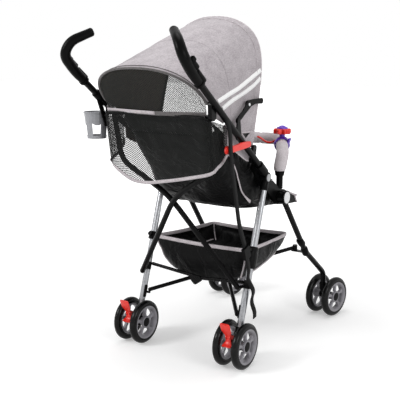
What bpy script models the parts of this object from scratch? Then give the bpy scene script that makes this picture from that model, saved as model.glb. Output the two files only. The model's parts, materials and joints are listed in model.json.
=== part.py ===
"""Folding umbrella stroller with a rear scissor frame, twin wheels, a canopy, a reclined seat,
a toy bar, a basket and a cup holder.

Units are metres and +Z is up. The child faces -Y, the pusher stands at +Y and +X is the pusher's left.
The numbers below are drawn about a point on the floor midway between the front and the rear axles.
TO_ORIGIN then moves every piece, so that the origin lies under the middle of the whole.
"""
import math

import bmesh
import bpy
from mathutils import Matrix, Vector

for old in list(bpy.data.objects):
    bpy.data.objects.remove(old, do_unlink=True)

# Clearances
TO_ORIGIN = Vector((-0.0046, -0.1159, 0.0))
GAP = 0.0003           # between touching pieces
PIN_PLAY = 0.0005      # radial play of a pin in its bore

# Wheels
WHEEL_RADIUS = 0.075
TYRE_WIDTH = 0.024
TYRE_DEPTH = 0.0202    # from the rim seat to the tread
REAR_PAIR_HALF = 0.034   # from the middle of a rear pair to each wheel's middle
FRONT_PAIR_HALF = 0.036
AXLE_RADIUS = 0.004
CASTER_TRAIL = 0.024
CASTER_TURN = math.radians(-10.5)             # how far the casters stand turned
SPOKES = 5
WHEEL_STEPS = 20

# Widths, from the seat outwards
SEAT_HALF = 0.166
SIDE_ROOM = 0.013         # from the seat's side to the side bracket's plate
PLATE_THICKNESS = 0.0125
PLATE_INNER = SEAT_HALF + SIDE_ROOM
PLATE_OUTER = PLATE_INNER + PLATE_THICKNESS
TUBE_STANDOFF = 0.0135    # from the plate's outer face to the middle of the front leg's hub
HALF_WIDTH = PLATE_OUTER + TUBE_STANDOFF

# Side frame, given for the left side
HINGE = Vector((HALF_WIDTH, 0.020, 0.508))        # front leg to side bracket
REAR_AXLE = Vector((HALF_WIDTH - 0.003, 0.316, WHEEL_RADIUS))
FRONT_STEM = Vector((HALF_WIDTH + 0.020, -0.291, 0.128))   # foot of the front leg, over the caster
LEG_PIVOT = Vector((HALF_WIDTH - 0.0015, 0.138, 0.592))   # rear leg to side bracket
HANDLE_END = Vector((HALF_WIDTH + 0.008, 0.535, 0.906))   # where the grip starts
FRONT_KNEE = Vector((HALF_WIDTH + 0.007, -0.150, 0.283))
TUBE_RADIUS = 0.010
REAR_LEG_RADIUS = 0.011
HUB_RADIUS = 0.022
LEG_HUB_RADIUS = 0.018
PIN_RADIUS = 0.006
SOCKET_START = 0.170      # along the handle line, from the hinge
SOCKET_END = 0.218
SOCKET_WALL = 0.0042

# Grips
GRIP_RADIUS = 0.0155
GRIP_SOCKET = 0.045
GRIP_POINTS = (
    Vector((HALF_WIDTH + 0.0103, 0.612, 0.986)),
    Vector((HALF_WIDTH - 0.008, 0.606, 1.022)),
    Vector((HALF_WIDTH - 0.0565, 0.570, 1.050)),
)

# Rear scissor
X_TUBE_RADIUS = 0.009
X_LAYER = 0.022           # distance between the two tubes where they cross
X_INSET = 0.020           # from the tube line in to each scissor tube's foot and top
X_FOOT = Vector((HALF_WIDTH - X_INSET, 0.2785, 0.252))
X_CROSS = Vector((0.0, 0.362, 0.520))
X_ELBOW = Vector((-0.040, 0.374, 0.560))
X_SHOULDER = Vector((X_INSET - HALF_WIDTH, 0.398, 0.650))
X_TOP = Vector((X_INSET - HALF_WIDTH, 0.434, 0.814))

# Lower scissor bars and the folding stay
BAR_RADIUS = 0.007
BAR_LAYER = 0.021
STUB_RATIO = 0.55         # a stub's radius over its ball's
BALL_RADIUS = {"scissor": 0.0095, "stay": 0.0066, "bar": 0.0075}   # of each foot that turns on a stub
EYE_HALF = 0.0095         # half the height of the eye at each bar's front end
BAR_REAR = Vector((HALF_WIDTH - 0.027, 0.2686, 0.167))
BAR_FRONT = Vector((0.040 - HALF_WIDTH, -0.165, 0.275))
STAY_RADIUS = 0.006
STAY_LAYER = 0.013
STAY_FOOT = Vector((HALF_WIDTH - 0.019, 0.2380, 0.262))
STAY_MIDDLE_Z = 0.246

# Basket
BASKET_REAR = Vector((HALF_WIDTH - 0.0195, 0.226, 0.358))
BASKET_FRONT = Vector((HALF_WIDTH - 0.045, -0.112, 0.352))
BASKET_FLOOR_REAR_Z = 0.262
BASKET_FLOOR_FRONT_Z = 0.296
BASKET_TAPER = 0.022
BASKET_WALL = 0.003
BASKET_TAB_REAR = HALF_WIDTH - 0.0188      # how far out the corner cords reach
BASKET_TAB_FRONT = HALF_WIDTH - 0.0055
BASKET_CORD_RADIUS = 0.0029

# Seat
SEAT_FRONT = Vector((0.0, -0.165, 0.470))
SEAT_REAR = Vector((0.0, 0.165, 0.482))
SEAT_TOP = Vector((0.0, 0.437, 0.815))
PAD_THICKNESS = 0.030
PANEL_THICKNESS = 0.003
PANEL_FLAP = (0.276, 0.376)   # along the handle line, from the hinge
NET_THICKNESS = 0.003
NET_LEAN = 0.15           # how far forward the net leans for each metre down
# The net's columns on one side: x, y at the top, top z, hem z, and the way its thickness goes
NET_COLUMNS = (
    (0.000, 0.462, 0.826, 0.588, 0.0, 1.0),
    (0.060, 0.464, 0.826, 0.586, 0.0, 1.0),
    (0.120, 0.467, 0.826, 0.590, 0.0, 1.0),
    (HALF_WIDTH - 0.030, 0.476, 0.826, 0.605, 0.0, 1.0),
    (HALF_WIDTH - 0.009, 0.466, 0.790, 0.635, 0.6, 0.6),
    (HALF_WIDTH - 0.007, 0.400, 0.775, 0.668, 0.8, 0.0),
    (HALF_WIDTH - 0.007, 0.350, 0.742, 0.700, 0.8, 0.0),
)
WINDOW_INSET = 0.0034

# Canopy
CANOPY_INSET = 0.015      # from the tube line in to the canopy's sides
CANOPY_HALF = HALF_WIDTH - CANOPY_INSET
CANOPY_REAR = Vector((CANOPY_HALF, 0.466, 0.846))
CANOPY_REAR_APEX = Vector((0.0, 0.565, 0.948))
CANOPY_PIVOT = Vector((CANOPY_HALF, 0.205, 0.695))
CANOPY_FRONT_APEX = Vector((0.0, 0.135, 1.108))
HOOP_STEPS = 14
HOOP_POWER = 0.85         # below 1 a hoop is squarer than an ellipse
FRONT_HOOP_POWER = 0.74
FRONT_WIDENING = 0.24
CANOPY_SKIN = 0.003
CANOPY_BULGE = 0.014

# Folding braces, in two layers outside the canopy
BRACE_IN = HALF_WIDTH - 0.0035
BRACE_THICK = 0.003
BRACE_OUT = BRACE_IN + 2 * BRACE_THICK + 2 * GAP
BRACE_BASE = Vector((0, 0.325, 0.790))    # on the handle's clamp
BRACE_KNEE = Vector((0, 0.258, 0.835))
BRACE_TIP = Vector((0, 0.172, 0.842))

# Toy bar
BUMPER_RADIUS = 0.0225
BUMPER_FOOT = Vector((HALF_WIDTH - 0.018, 0.010, 0.578))
BUMPER_POINTS = (
    Vector((HALF_WIDTH - 0.018, 0.010, 0.598)),
    Vector((HALF_WIDTH - 0.016, -0.006, 0.655)),
    Vector((HALF_WIDTH - 0.117, -0.187, 0.680)),
    Vector((0.0, -0.187, 0.680)),
)
BUMPER_BEND = 0.045
RING_PLACE = 0.62        # how far the toy ring sits along the bar's side

# Cup holder, on the left handle tube
CUP_CENTRE = Vector((HALF_WIDTH + 0.051, 0.437, 0.720))
CUP_HEIGHT = 0.086
CUP_TOP_RADIUS = 0.042
CUP_FOOT_RADIUS = 0.031
CUP_WALL = 0.0025
CUP_CLIP_PLACE = 0.580    # along the handle line, from the hinge

# Brakes
BRAKE_PIVOT = REAR_AXLE + Vector((0, 0.030, 0.034))

# Storage strap, which hangs from the right handle through its buckle
STRAP_WIDTH = 0.020
STRAP_THICKNESS = 0.0018
STRAP_PLACE = 0.486       # along the handle line, from the hinge
STRAP_DROPS = (           # out from the handle's loop, then y and z of the hanging part
    (0.0195, 0.405, 0.775), (0.0235, 0.402, 0.683), (0.0235, 0.380, 0.590), (0.0235, 0.354, 0.478),
    (0.0220, 0.325, 0.425), (0.0220, 0.292, 0.335),
)
STRAP_TAIL = (            # the spare end below the buckle, the same way
    (0.0200, 0.284, 0.310), (0.0110, 0.279, 0.286), (0.0330, 0.270, 0.246), (0.0150, 0.262, 0.210),
    (0.0260, 0.254, 0.172), (0.0235, 0.250, 0.150),
)
BUCKLE_LENGTH = 0.040
BUCKLE_WIDTH = 0.030
BUCKLE_DEPTH = 0.012


def material(name, colour, roughness=0.5, metallic=0.0):
    """A plain Principled material in the piece's colour."""
    made = bpy.data.materials.new(name)
    made.use_nodes = True
    shader = made.node_tree.nodes["Principled BSDF"]
    shader.inputs["Base Color"].default_value = (*colour, 1.0)
    shader.inputs["Roughness"].default_value = roughness
    shader.inputs["Metallic"].default_value = metallic
    return made


BLACK_STEEL = material("black_steel", (0.012, 0.012, 0.013), 0.35, 0.0)
SILVER_TUBE = material("silver_tube", (0.62, 0.62, 0.64), 0.30, 1.0)
BLACK_PLASTIC = material("black_plastic", (0.015, 0.015, 0.016), 0.45)
RED_PLASTIC = material("red_plastic", (0.75, 0.02, 0.015), 0.35)
PURPLE_PLASTIC = material("purple_plastic", (0.12, 0.03, 0.42), 0.35)
GREY_PLASTIC = material("grey_plastic", (0.16, 0.16, 0.18), 0.45)
RUBBER = material("rubber", (0.014, 0.014, 0.014), 0.6)
GREY_FABRIC = material("grey_fabric", (0.45, 0.42, 0.43), 0.9)
BLACK_FABRIC = material("black_fabric", (0.011, 0.011, 0.011), 0.9)
NET_FABRIC = material("net_fabric", (0.09, 0.09, 0.09), 0.9)
WEBBING = material("webbing", (0.01, 0.01, 0.01), 0.85)


def finish(name, bm, mat, pivot=(0, 0, 0)):
    """Turn a bmesh in world coordinates into an object whose origin is the pivot."""
    bmesh.ops.remove_doubles(bm, verts=bm.verts, dist=1e-6)
    bmesh.ops.recalc_face_normals(bm, faces=bm.faces)
    bmesh.ops.translate(bm, verts=bm.verts, vec=-Vector(pivot))
    mesh = bpy.data.meshes.new(name)
    bm.to_mesh(mesh)
    bm.free()
    mesh.shade_smooth()
    mesh.set_sharp_from_angle(angle=math.radians(35))
    mesh.materials.append(mat)
    obj = bpy.data.objects.new(name, mesh)
    obj.location = Vector(pivot) + TO_ORIGIN
    bpy.context.collection.objects.link(obj)
    return obj


def helper(obj):
    """Mark an object as a cutter or an addition that isn't a piece itself."""
    obj.hide_render = True
    obj.display_type = "WIRE"
    return obj


def boolean(obj, other, operation):
    """Cut the other solid out of an object, or add it."""
    helper(other)
    step = obj.modifiers.new(operation.lower(), "BOOLEAN")
    step.operation = operation
    step.object = other
    step.solver = "EXACT"


def side_of(point, side):
    """A point given for the left side, on the asked side (+1 left, -1 right)."""
    return Vector((point[0] * side, point[1], point[2]))


def circle(radius, steps, ratio=1.0, turn=0.0):
    """Points of a round or oval section."""
    angles = [turn + 2 * math.pi * i / steps for i in range(steps)]
    return [(radius * math.cos(a), radius * ratio * math.sin(a)) for a in angles]


def rounded_path(points, radius, steps=3):
    """A path through the points with each inner corner rounded."""
    points = [Vector(p) for p in points]
    path = [points[0]]
    for before, corner, after in zip(points, points[1:], points[2:]):
        reach = min(radius, (before - corner).length * 0.48, (after - corner).length * 0.48)
        start = corner + (before - corner).normalized() * reach
        end = corner + (after - corner).normalized() * reach
        for i in range(steps + 1):
            t = i / steps
            path.append(start * (1 - t) ** 2 + corner * 2 * t * (1 - t) + end * t * t)
    path.append(points[-1])
    return path


def sweep_mesh(path, section, scales=None, up=(1, 0, 0)):
    """A solid that carries a section along a path, without twist, closed at both ends."""
    bm = bmesh.new()
    rings = []
    side = Vector(up)
    for i, point in enumerate(path):
        ahead = path[min(i + 1, len(path) - 1)]
        behind = path[max(i - 1, 0)]
        forward = (ahead - point).normalized() + (point - behind).normalized()
        forward.normalize()
        side = (side - forward * side.dot(forward)).normalized()
        other = forward.cross(side)
        scale = scales[i] if scales else 1.0
        rings.append([bm.verts.new(point + (side * a + other * b) * scale) for a, b in section])
    for low, high in zip(rings, rings[1:]):
        for i in range(len(section)):
            j = (i + 1) % len(section)
            bm.faces.new((low[i], low[j], high[j], high[i]))
    bm.faces.new(rings[0])
    bm.faces.new(list(reversed(rings[-1])))
    return bm


def tube(name, path, radius, mat, pivot=(0, 0, 0), sides=12):
    """A round bar along a path."""
    return finish(name, sweep_mesh(path, circle(radius, sides)), mat, pivot)


def lathe_mesh(profile, centre, steps, axis=(1, 0, 0), loop=False):
    """Turn a profile of (along, radius) about an axis. A loop profile closes on itself."""
    bm = bmesh.new()
    axis = Vector(axis).normalized()
    down = Vector((0, 0, -1)) if abs(axis.z) < 0.9 else Vector((0, -1, 0))
    down = (down - axis * down.dot(axis)).normalized()
    other = axis.cross(down)
    rings = []
    for along, radius in profile:
        ring = []
        for i in range(steps):
            turn = 2 * math.pi * i / steps
            arm = down * math.cos(turn) + other * math.sin(turn)
            ring.append(bm.verts.new(Vector(centre) + axis * along + arm * radius))
        rings.append(ring)
    pairs = list(zip(rings, rings[1:]))
    if loop:
        pairs.append((rings[-1], rings[0]))
    else:
        bm.faces.new(rings[0])
        bm.faces.new(rings[-1])
    for low, high in pairs:
        for i in range(steps):
            j = (i + 1) % steps
            bm.faces.new((low[i], low[j], high[j], high[i]))
    return bm


def cylinder(name, start, end, radius, mat=BLACK_PLASTIC, steps=16, pivot=(0, 0, 0)):
    """A round solid between two points."""
    start, end = Vector(start), Vector(end)
    length = (end - start).length
    bm = lathe_mesh([(0, radius), (length, radius)], start, steps, end - start)
    return finish(name, bm, mat, pivot)


def ball(name, centre, radius, axis):
    """A small ball with flat poles."""
    rings = ((-0.93, 0.36), (-0.65, 0.75), (0.0, 1.0), (0.65, 0.75), (0.93, 0.36))
    profile = [(along * radius, across * radius) for along, across in rings]
    return finish(name, lathe_mesh(profile, centre, 12, axis), BLACK_STEEL)


def prism(name, outline, low, high, mat=BLACK_PLASTIC, pivot=(0, 0, 0), axis="X"):
    """Extrude an outline along X from low to high; the outline gives (y, z) points."""
    bm = bmesh.new()
    place = {"X": lambda a, b, h: (h, a, b), "Z": lambda a, b, h: (a, b, h), "Y": lambda a, b, h: (a, h, b)}[axis]
    face = bm.faces.new([bm.verts.new(place(a, b, low)) for a, b in outline])
    made = bmesh.ops.extrude_face_region(bm, geom=[face])
    lift = Vector(place(0, 0, high - low))
    bmesh.ops.translate(bm, verts=[v for v in made["geom"] if isinstance(v, bmesh.types.BMVert)], vec=lift)
    return finish(name, bm, mat, pivot)


def hull_outline(discs, steps=12):
    """The outline of a plate stretched round some discs of (y, z, radius)."""
    points = []
    for y, z, radius in discs:
        points += [(y + a, z + b) for a, b in circle(radius, steps)]
    points = sorted(set((round(a, 7), round(b, 7)) for a, b in points))

    def half(items):
        chain = []
        for p in items:
            while len(chain) > 1:
                (ay, az), (by, bz) = chain[-2], chain[-1]
                if (by - ay) * (p[1] - az) - (bz - az) * (p[0] - ay) > 0:
                    break
                chain.pop()
            chain.append(p)
        return chain[:-1]

    return half(points) + half(reversed(points))


def sheet_mesh(rows, thickness_step):
    """A thin closed solid between a grid of points and the same grid moved by thickness_step(row, column)."""
    bm = bmesh.new()
    outer = [[bm.verts.new(p) for p in row] for row in rows]
    inner = [[bm.verts.new(Vector(p) + thickness_step(i, j)) for j, p in enumerate(row)] for i, row in enumerate(rows)]
    last, end = len(rows) - 1, len(rows[0]) - 1
    for i in range(last):
        for j in range(end):
            for grid in (outer, inner):
                bm.faces.new((grid[i][j], grid[i + 1][j], grid[i + 1][j + 1], grid[i][j + 1]))
    for i in range(last):
        for j in (0, end):
            bm.faces.new((outer[i][j], outer[i + 1][j], inner[i + 1][j], inner[i][j]))
    for j in range(end):
        for i in (0, last):
            bm.faces.new((outer[i][j], outer[i][j + 1], inner[i][j + 1], inner[i][j]))
    return bm


# The handle tube's line runs from the hinge to the grip.
HANDLE_LINE = (HANDLE_END - HINGE).normalized()
# The caster's axle lies ahead of its stem, turned with the caster.
CASTER_AXIS = Vector((math.cos(CASTER_TURN), math.sin(CASTER_TURN), 0.0))
CASTER_AHEAD = Vector((math.sin(CASTER_TURN), -math.cos(CASTER_TURN), 0.0))
REAR_LEG_FOOT = REAR_AXLE + Vector((0.0, -0.025, 0.044))
SIDES = (("right", -1), ("left", 1))
RIM_RADIUS = WHEEL_RADIUS - TYRE_DEPTH - GAP


def handle_at(distance, side):
    """A point on the handle's line, at a distance from the hinge."""
    return side_of(HINGE + HANDLE_LINE * distance, side)


def leg_at(z):
    """The y of the rear leg's middle at a height."""
    part = (z - REAR_LEG_FOOT.z) / (LEG_PIVOT.z - REAR_LEG_FOOT.z)
    return REAR_LEG_FOOT.y + (LEG_PIVOT.y - REAR_LEG_FOOT.y) * part


def front_axle(side):
    """The middle of a front axle."""
    stem = side_of(FRONT_STEM, side)
    return Vector((stem.x, stem.y, WHEEL_RADIUS)) + CASTER_AHEAD * CASTER_TRAIL


def wheel_pair(place, side_name, centre, axis, pair_half):
    """Two tyres and the rims that share one axle."""
    half = TYRE_WIDTH / 2
    seat = RIM_RADIUS
    edge = half - 0.002
    web = 0.004
    right_half = [
        (pair_half - half + 0.0005, AXLE_RADIUS), (pair_half - half + 0.0005, 0.013), (pair_half - web, 0.014),
        (pair_half - web, seat - 0.008), (pair_half - edge, seat - 0.005), (pair_half - edge, seat),
        (pair_half + edge, seat), (pair_half + edge, seat - 0.005), (pair_half + web, seat - 0.008),
        (pair_half + web, 0.015), (pair_half + half, 0.012),
    ]
    profile = [(-along, radius) for along, radius in reversed(right_half)] + right_half
    rims = finish(f"{place}_rims_{side_name}", lathe_mesh(profile, centre, WHEEL_STEPS, axis), GREY_PLASTIC, centre)
    bm = bmesh.new()
    down = Vector((0, 0, -1))
    other = axis.cross(down)
    reach = pair_half + TYRE_WIDTH
    for k in range(SPOKES):
        middle = 2 * math.pi * (k + 0.5) / SPOKES
        corners = []
        for radius, spread in ((0.021, -0.36), (0.0435, -0.50), (0.0435, 0.50), (0.021, 0.36)):
            arm = down * math.cos(middle + spread) + other * math.sin(middle + spread)
            corners.append(Vector(centre) + arm * radius - axis * reach)
        face = bm.faces.new([bm.verts.new(p) for p in corners])
        made = bmesh.ops.extrude_face_region(bm, geom=[face])
        moved = [v for v in made["geom"] if isinstance(v, bmesh.types.BMVert)]
        bmesh.ops.translate(bm, verts=moved, vec=axis * 2 * reach)
    boolean(rims, finish(f"cut_windows_{place}_{side_name}", bm, GREY_PLASTIC), "DIFFERENCE")
    tyre = [
        (-edge, seat + GAP), (edge, seat + GAP), (half, seat + 0.006), (half, WHEEL_RADIUS - 0.008),
        (half * 0.62, WHEEL_RADIUS - 0.0015), (0.0, WHEEL_RADIUS), (-half * 0.62, WHEEL_RADIUS - 0.0015),
        (-half, WHEEL_RADIUS - 0.008), (-half, seat + 0.006),
    ]
    for where, direction in (("a", -1), ("b", 1)):
        middle = Vector(centre) + axis * (direction * pair_half)
        bm = lathe_mesh(tyre, middle, WHEEL_STEPS, axis, loop=True)
        finish(f"{place}_tyre_{side_name}_{where}", bm, RUBBER, centre)


def front_leg(name, side):
    """Black tube with the hinge hub at its top and a vertical socket at its foot."""
    stem = side_of(FRONT_STEM, side)
    top = side_of(HINGE, side)
    points = [top, side_of(FRONT_KNEE, side), stem + Vector((0, 0, 0.040)), stem]
    leg = tube(f"front_leg_{name}", rounded_path(points, 0.030), TUBE_RADIUS, BLACK_STEEL, top)
    hub_in, hub_out = PLATE_OUTER + GAP, HALF_WIDTH + 0.0135
    profile = [
        (PLATE_INNER - 0.0037, 0.010), (PLATE_INNER - GAP, 0.010), (PLATE_INNER - GAP, PIN_RADIUS),
        (hub_in, PIN_RADIUS), (hub_in, HUB_RADIUS), (hub_out - 0.002, HUB_RADIUS), (hub_out, HUB_RADIUS - 0.003),
    ]
    profile = [(along * side, radius) for along, radius in profile]
    hub = finish(f"add_hub_{name}", lathe_mesh(profile, (0, top.y, top.z), 16), BLACK_STEEL)
    boolean(leg, hub, "UNION")
    bore = cylinder(f"cut_stem_{name}", stem - Vector((0, 0, 0.01)), stem + Vector((0, 0, 0.030)), PIN_RADIUS + PIN_PLAY)
    boolean(leg, bore, "DIFFERENCE")
    # A ledge carries the front end of the lower scissor bar.
    end = side_of((-BAR_FRONT.x, BAR_FRONT.y, BAR_FRONT.z), side)
    lift = -BAR_LAYER / 2 * side
    top_z = end.z + lift - EYE_HALF - GAP
    leg_x = side * (FRONT_KNEE.x + 0.002)
    outline = [(end.x - side * 0.010, end.y - 0.011), (leg_x, end.y - 0.011), (leg_x, end.y + 0.011),
               (end.x - side * 0.010, end.y + 0.011)]
    ledge = prism(f"add_ledge_{name}", outline, top_z - 0.004, top_z, BLACK_STEEL, axis="Z")
    boolean(leg, ledge, "UNION")


def caster(name, side):
    """Fork arm that swivels on its stem and carries the front axle."""
    stem = side_of(FRONT_STEM, side)
    axle = front_axle(side)
    top = stem - Vector((0, 0, GAP))
    body = tube(f"caster_{name}", rounded_path([top, top - Vector((0, 0, 0.022)), axle], 0.012), 0.0135,
                BLACK_PLASTIC, stem)
    half = FRONT_PAIR_HALF - TYRE_WIDTH / 2 - 0.0005
    boss = cylinder(f"add_boss_{name}", axle - CASTER_AXIS * half, axle + CASTER_AXIS * half, 0.0145)
    pin = cylinder(f"add_pin_{name}", top - Vector((0, 0, 0.008)), top + Vector((0, 0, 0.026)), PIN_RADIUS)
    boolean(body, boss, "UNION")
    boolean(body, pin, "UNION")
    reach = CASTER_AXIS * (half + 0.02)
    boolean(body, cylinder(f"cut_axle_{name}", axle - reach, axle + reach, AXLE_RADIUS + PIN_PLAY), "DIFFERENCE")


def side_bracket(name, side):
    """Moulded plate with the hinge bores, the handle's socket and the toy bar's post."""
    socket = [handle_at(SOCKET_START, side), handle_at(SOCKET_END, side)]
    tip = handle_at(SOCKET_END - 0.016, side)
    discs = [(HINGE.y, HINGE.z, 0.026), (LEG_PIVOT.y, LEG_PIVOT.z, 0.022), (tip.y, tip.z, 0.014)]
    low, high = sorted((side * PLATE_INNER, side * PLATE_OUTER))
    plate = prism(f"side_bracket_{name}", hull_outline(discs), low, high, BLACK_PLASTIC, side_of(HINGE, side))
    outer = TUBE_RADIUS + GAP + SOCKET_WALL
    boolean(plate, cylinder(f"add_socket_{name}", socket[0], socket[1], outer), "UNION")
    ends = [handle_at(SOCKET_START + outer, 1), handle_at(SOCKET_END - outer, 1)]
    saddle = hull_outline([(p.y, p.z, outer - 0.001) for p in ends])
    inside, outside = sorted((side * (PLATE_OUTER - 0.002), side * HALF_WIDTH))
    boolean(plate, prism(f"add_saddle_{name}", saddle, inside, outside), "UNION")
    foot = side_of(BUMPER_FOOT, side)
    post_low = HINGE.z + HUB_RADIUS + 0.006
    neck = prism(f"add_neck_{name}", [(foot.y - 0.011, HINGE.z), (foot.y + 0.011, HINGE.z),
                                      (foot.y + 0.011, post_low + 0.006), (foot.y - 0.011, post_low + 0.006)],
                 low, high)
    boolean(plate, neck, "UNION")
    post = cylinder(f"add_post_{name}", (foot.x, foot.y, post_low), (foot.x, foot.y, foot.z - GAP), 0.0115)
    boolean(plate, post, "UNION")
    bore_end = handle_at(SOCKET_END + 0.01, side)
    bore = cylinder(f"cut_socket_{name}", handle_at(SOCKET_START + 0.006, side), bore_end, TUBE_RADIUS + GAP, steps=12)
    boolean(plate, bore, "DIFFERENCE")
    for label, spot in (("hinge", HINGE), ("leg", LEG_PIVOT)):
        past = PLATE_THICKNESS
        cut = cylinder(f"cut_{label}_{name}", (side * (PLATE_INNER - past), spot.y, spot.z),
                       (side * (PLATE_OUTER + past), spot.y, spot.z), PIN_RADIUS + PIN_PLAY)
        boolean(plate, cut, "DIFFERENCE")


def handle(name, side):
    """Upper tube, with the plate that the scissor's top rests against and the canopy clamp."""
    start = handle_at(SOCKET_START + 0.006 + GAP, side)
    end = side_of(HANDLE_END, side) + side_of(HANDLE_LINE, side) * GRIP_SOCKET
    steps = [start, side_of(HANDLE_END, side), end]
    body = tube(f"handle_tube_{name}", steps, TUBE_RADIUS, BLACK_STEEL, side_of(HINGE, side))
    # Pad beside the scissor tube's top
    shoulder = abs(X_TOP.x) + X_TUBE_RADIUS + GAP
    top = X_TOP
    top_y = top.y + (X_LAYER if side < 0 else 0.0)
    middle = handle_at((top_y - HINGE.y) / HANDLE_LINE.y, side)
    outline = hull_outline([(top_y, top.z - 0.004, 0.012), (middle.y, middle.z, 0.013)])
    low, high = sorted((side * shoulder, side * (HALF_WIDTH + 0.003)))
    boolean(body, prism(f"add_pad_{name}", outline, low, high), "UNION")
    # Clamp for the canopy's folding brace
    clamp = handle_at(0.385, side)
    spot = BRACE_BASE
    outline = hull_outline([(clamp.y, clamp.z, 0.0135), (spot.y, spot.z, 0.008)])
    low, high = sorted((side * BRACE_OUT, side * (BRACE_OUT + 0.005)))
    boolean(body, prism(f"add_clamp_{name}", outline, low, high), "UNION")
    # Arm that carries the canopy's front hoop, and the button that holds its rear corner
    arm = handle_at(0.245, side)
    outline = hull_outline([(arm.y, arm.z, 0.012), (CANOPY_PIVOT.y, CANOPY_PIVOT.z, 0.010)])
    low, high = sorted((side * (CANOPY_HALF + GAP), side * (HALF_WIDTH - 0.004)))
    boolean(body, prism(f"add_canopy_arm_{name}", outline, low, high), "UNION")
    button = handle_at(0.548, side)
    tip = (side * (CANOPY_HALF + GAP), button.y, button.z)
    boolean(body, cylinder(f"add_button_{name}", tip, button, 0.005, steps=12), "UNION")


def grip(name, side):
    """Soft cane handle that bends inwards, bored for the tube."""
    start = side_of(HANDLE_END, side)
    straight = start + side_of(HANDLE_LINE, side) * (GRIP_SOCKET + 0.008)
    points = [start, straight] + [side_of(p, side) for p in GRIP_POINTS]
    path = rounded_path(points, 0.030, 3)
    tip = path[-1] + (path[-1] - path[-2]).normalized() * 0.009
    path.append(tip)
    scales = [1.0] * len(path)
    scales[0], scales[-2], scales[-1] = 0.96, 0.97, 0.55
    body = finish(f"grip_{name}", sweep_mesh(path, circle(GRIP_RADIUS, 12, 1.12), scales), BLACK_PLASTIC, start)
    line = side_of(HANDLE_LINE, side)
    bore = cylinder(f"cut_grip_{name}", start - line * 0.01, start + line * (GRIP_SOCKET + GAP), TUBE_RADIUS + GAP,
                    steps=12)
    boolean(body, bore, "DIFFERENCE")


def rear_leg(name, side):
    """Silver tube that hangs from the side bracket down to the rear axle."""
    top = side_of(LEG_PIVOT, side)
    foot = side_of(REAR_LEG_FOOT, side)
    leg = tube(f"rear_leg_{name}", [top, foot], REAR_LEG_RADIUS, SILVER_TUBE, top)
    hub_in, hub_out = PLATE_OUTER + GAP, LEG_PIVOT.x + REAR_LEG_RADIUS
    profile = [
        (PLATE_INNER - 0.0037, 0.009), (PLATE_INNER - GAP, 0.009), (PLATE_INNER - GAP, PIN_RADIUS),
        (hub_in, PIN_RADIUS), (hub_in, LEG_HUB_RADIUS), (hub_out, LEG_HUB_RADIUS),
    ]
    profile = [(along * side, radius) for along, radius in profile]
    boolean(leg, finish(f"add_eye_{name}", lathe_mesh(profile, (0, top.y, top.z), 16), SILVER_TUBE), "UNION")
    # Stubs that carry the scissor tube's foot, the stay and the lower bar
    feet = (X_FOOT + Vector((0, X_LAYER if side > 0 else 0.0, 0)),
            STAY_FOOT + Vector((0, STAY_LAYER if side < 0 else 0.0, 0)), BAR_REAR)
    for label, spot in zip(("scissor", "stay", "bar"), feet):
        spot = side_of(spot, side)
        middle = Vector((side * (LEG_PIVOT.x + (REAR_LEG_FOOT.x - LEG_PIVOT.x) * 0.5), leg_at(spot.z), spot.z))
        end = spot + (middle - spot).normalized() * (BALL_RADIUS[label] + GAP)
        stub = cylinder(f"add_stub_{label}_{name}", middle, end, BALL_RADIUS[label] * STUB_RATIO, steps=12)
        boolean(leg, stub, "UNION")


def rear_hub(name, side):
    """Housing for the rear axle, the leg's end and the brake."""
    axle = side_of(REAR_AXLE, side)
    foot = side_of(REAR_LEG_FOOT, side)
    line = (side_of(LEG_PIVOT, side) - foot).normalized()
    top = foot + line * 0.030
    body = tube(f"rear_hub_{name}", [axle, foot - line * 0.004, top], REAR_LEG_RADIUS + 0.0043, BLACK_PLASTIC, axle)
    half = REAR_PAIR_HALF - TYRE_WIDTH / 2 - 0.0005
    boolean(body, cylinder(f"add_axle_boss_{name}", axle - Vector((half, 0, 0)), axle + Vector((half, 0, 0)), 0.0165),
            "UNION")
    ear = hull_outline([(axle.y, axle.z, 0.012), (BRAKE_PIVOT.y, BRAKE_PIVOT.z, 0.008)])
    boolean(body, prism(f"add_brake_ear_{name}", ear, axle.x - 0.005, axle.x + 0.005), "UNION")
    bore = cylinder(f"cut_leg_{name}", foot - line * GAP, top + line * 0.02, REAR_LEG_RADIUS + GAP, steps=12)
    boolean(body, bore, "DIFFERENCE")
    reach = Vector((half + 0.02, 0, 0))
    boolean(body, cylinder(f"cut_rear_axle_{name}", axle - reach, axle + reach, AXLE_RADIUS + PIN_PLAY), "DIFFERENCE")


def brake(name, side):
    """Red foot pedal between the rear wheels, with a fork round the hub's ear."""
    x = side * REAR_AXLE.x
    y, z = BRAKE_PIVOT.y, BRAKE_PIVOT.z
    outline = [(y - 0.009, z + 0.004), (y - 0.004, z - 0.010), (y + 0.010, z - 0.034), (y + 0.022, z - 0.030),
               (y + 0.013, z - 0.006), (y + 0.020, z + 0.012), (y + 0.040, z + 0.036), (y + 0.034, z + 0.043),
               (y + 0.004, z + 0.022)]
    pedal = prism(f"brake_{name}", outline, x - 0.015, x + 0.015, RED_PLASTIC, (x, y, z))
    slot = hull_outline([(REAR_AXLE.y, REAR_AXLE.z, 0.034), (y, z, 0.0125)])
    boolean(pedal, prism(f"cut_brake_{name}", slot, x - 0.005 - GAP, x + 0.005 + GAP), "DIFFERENCE")


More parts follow.
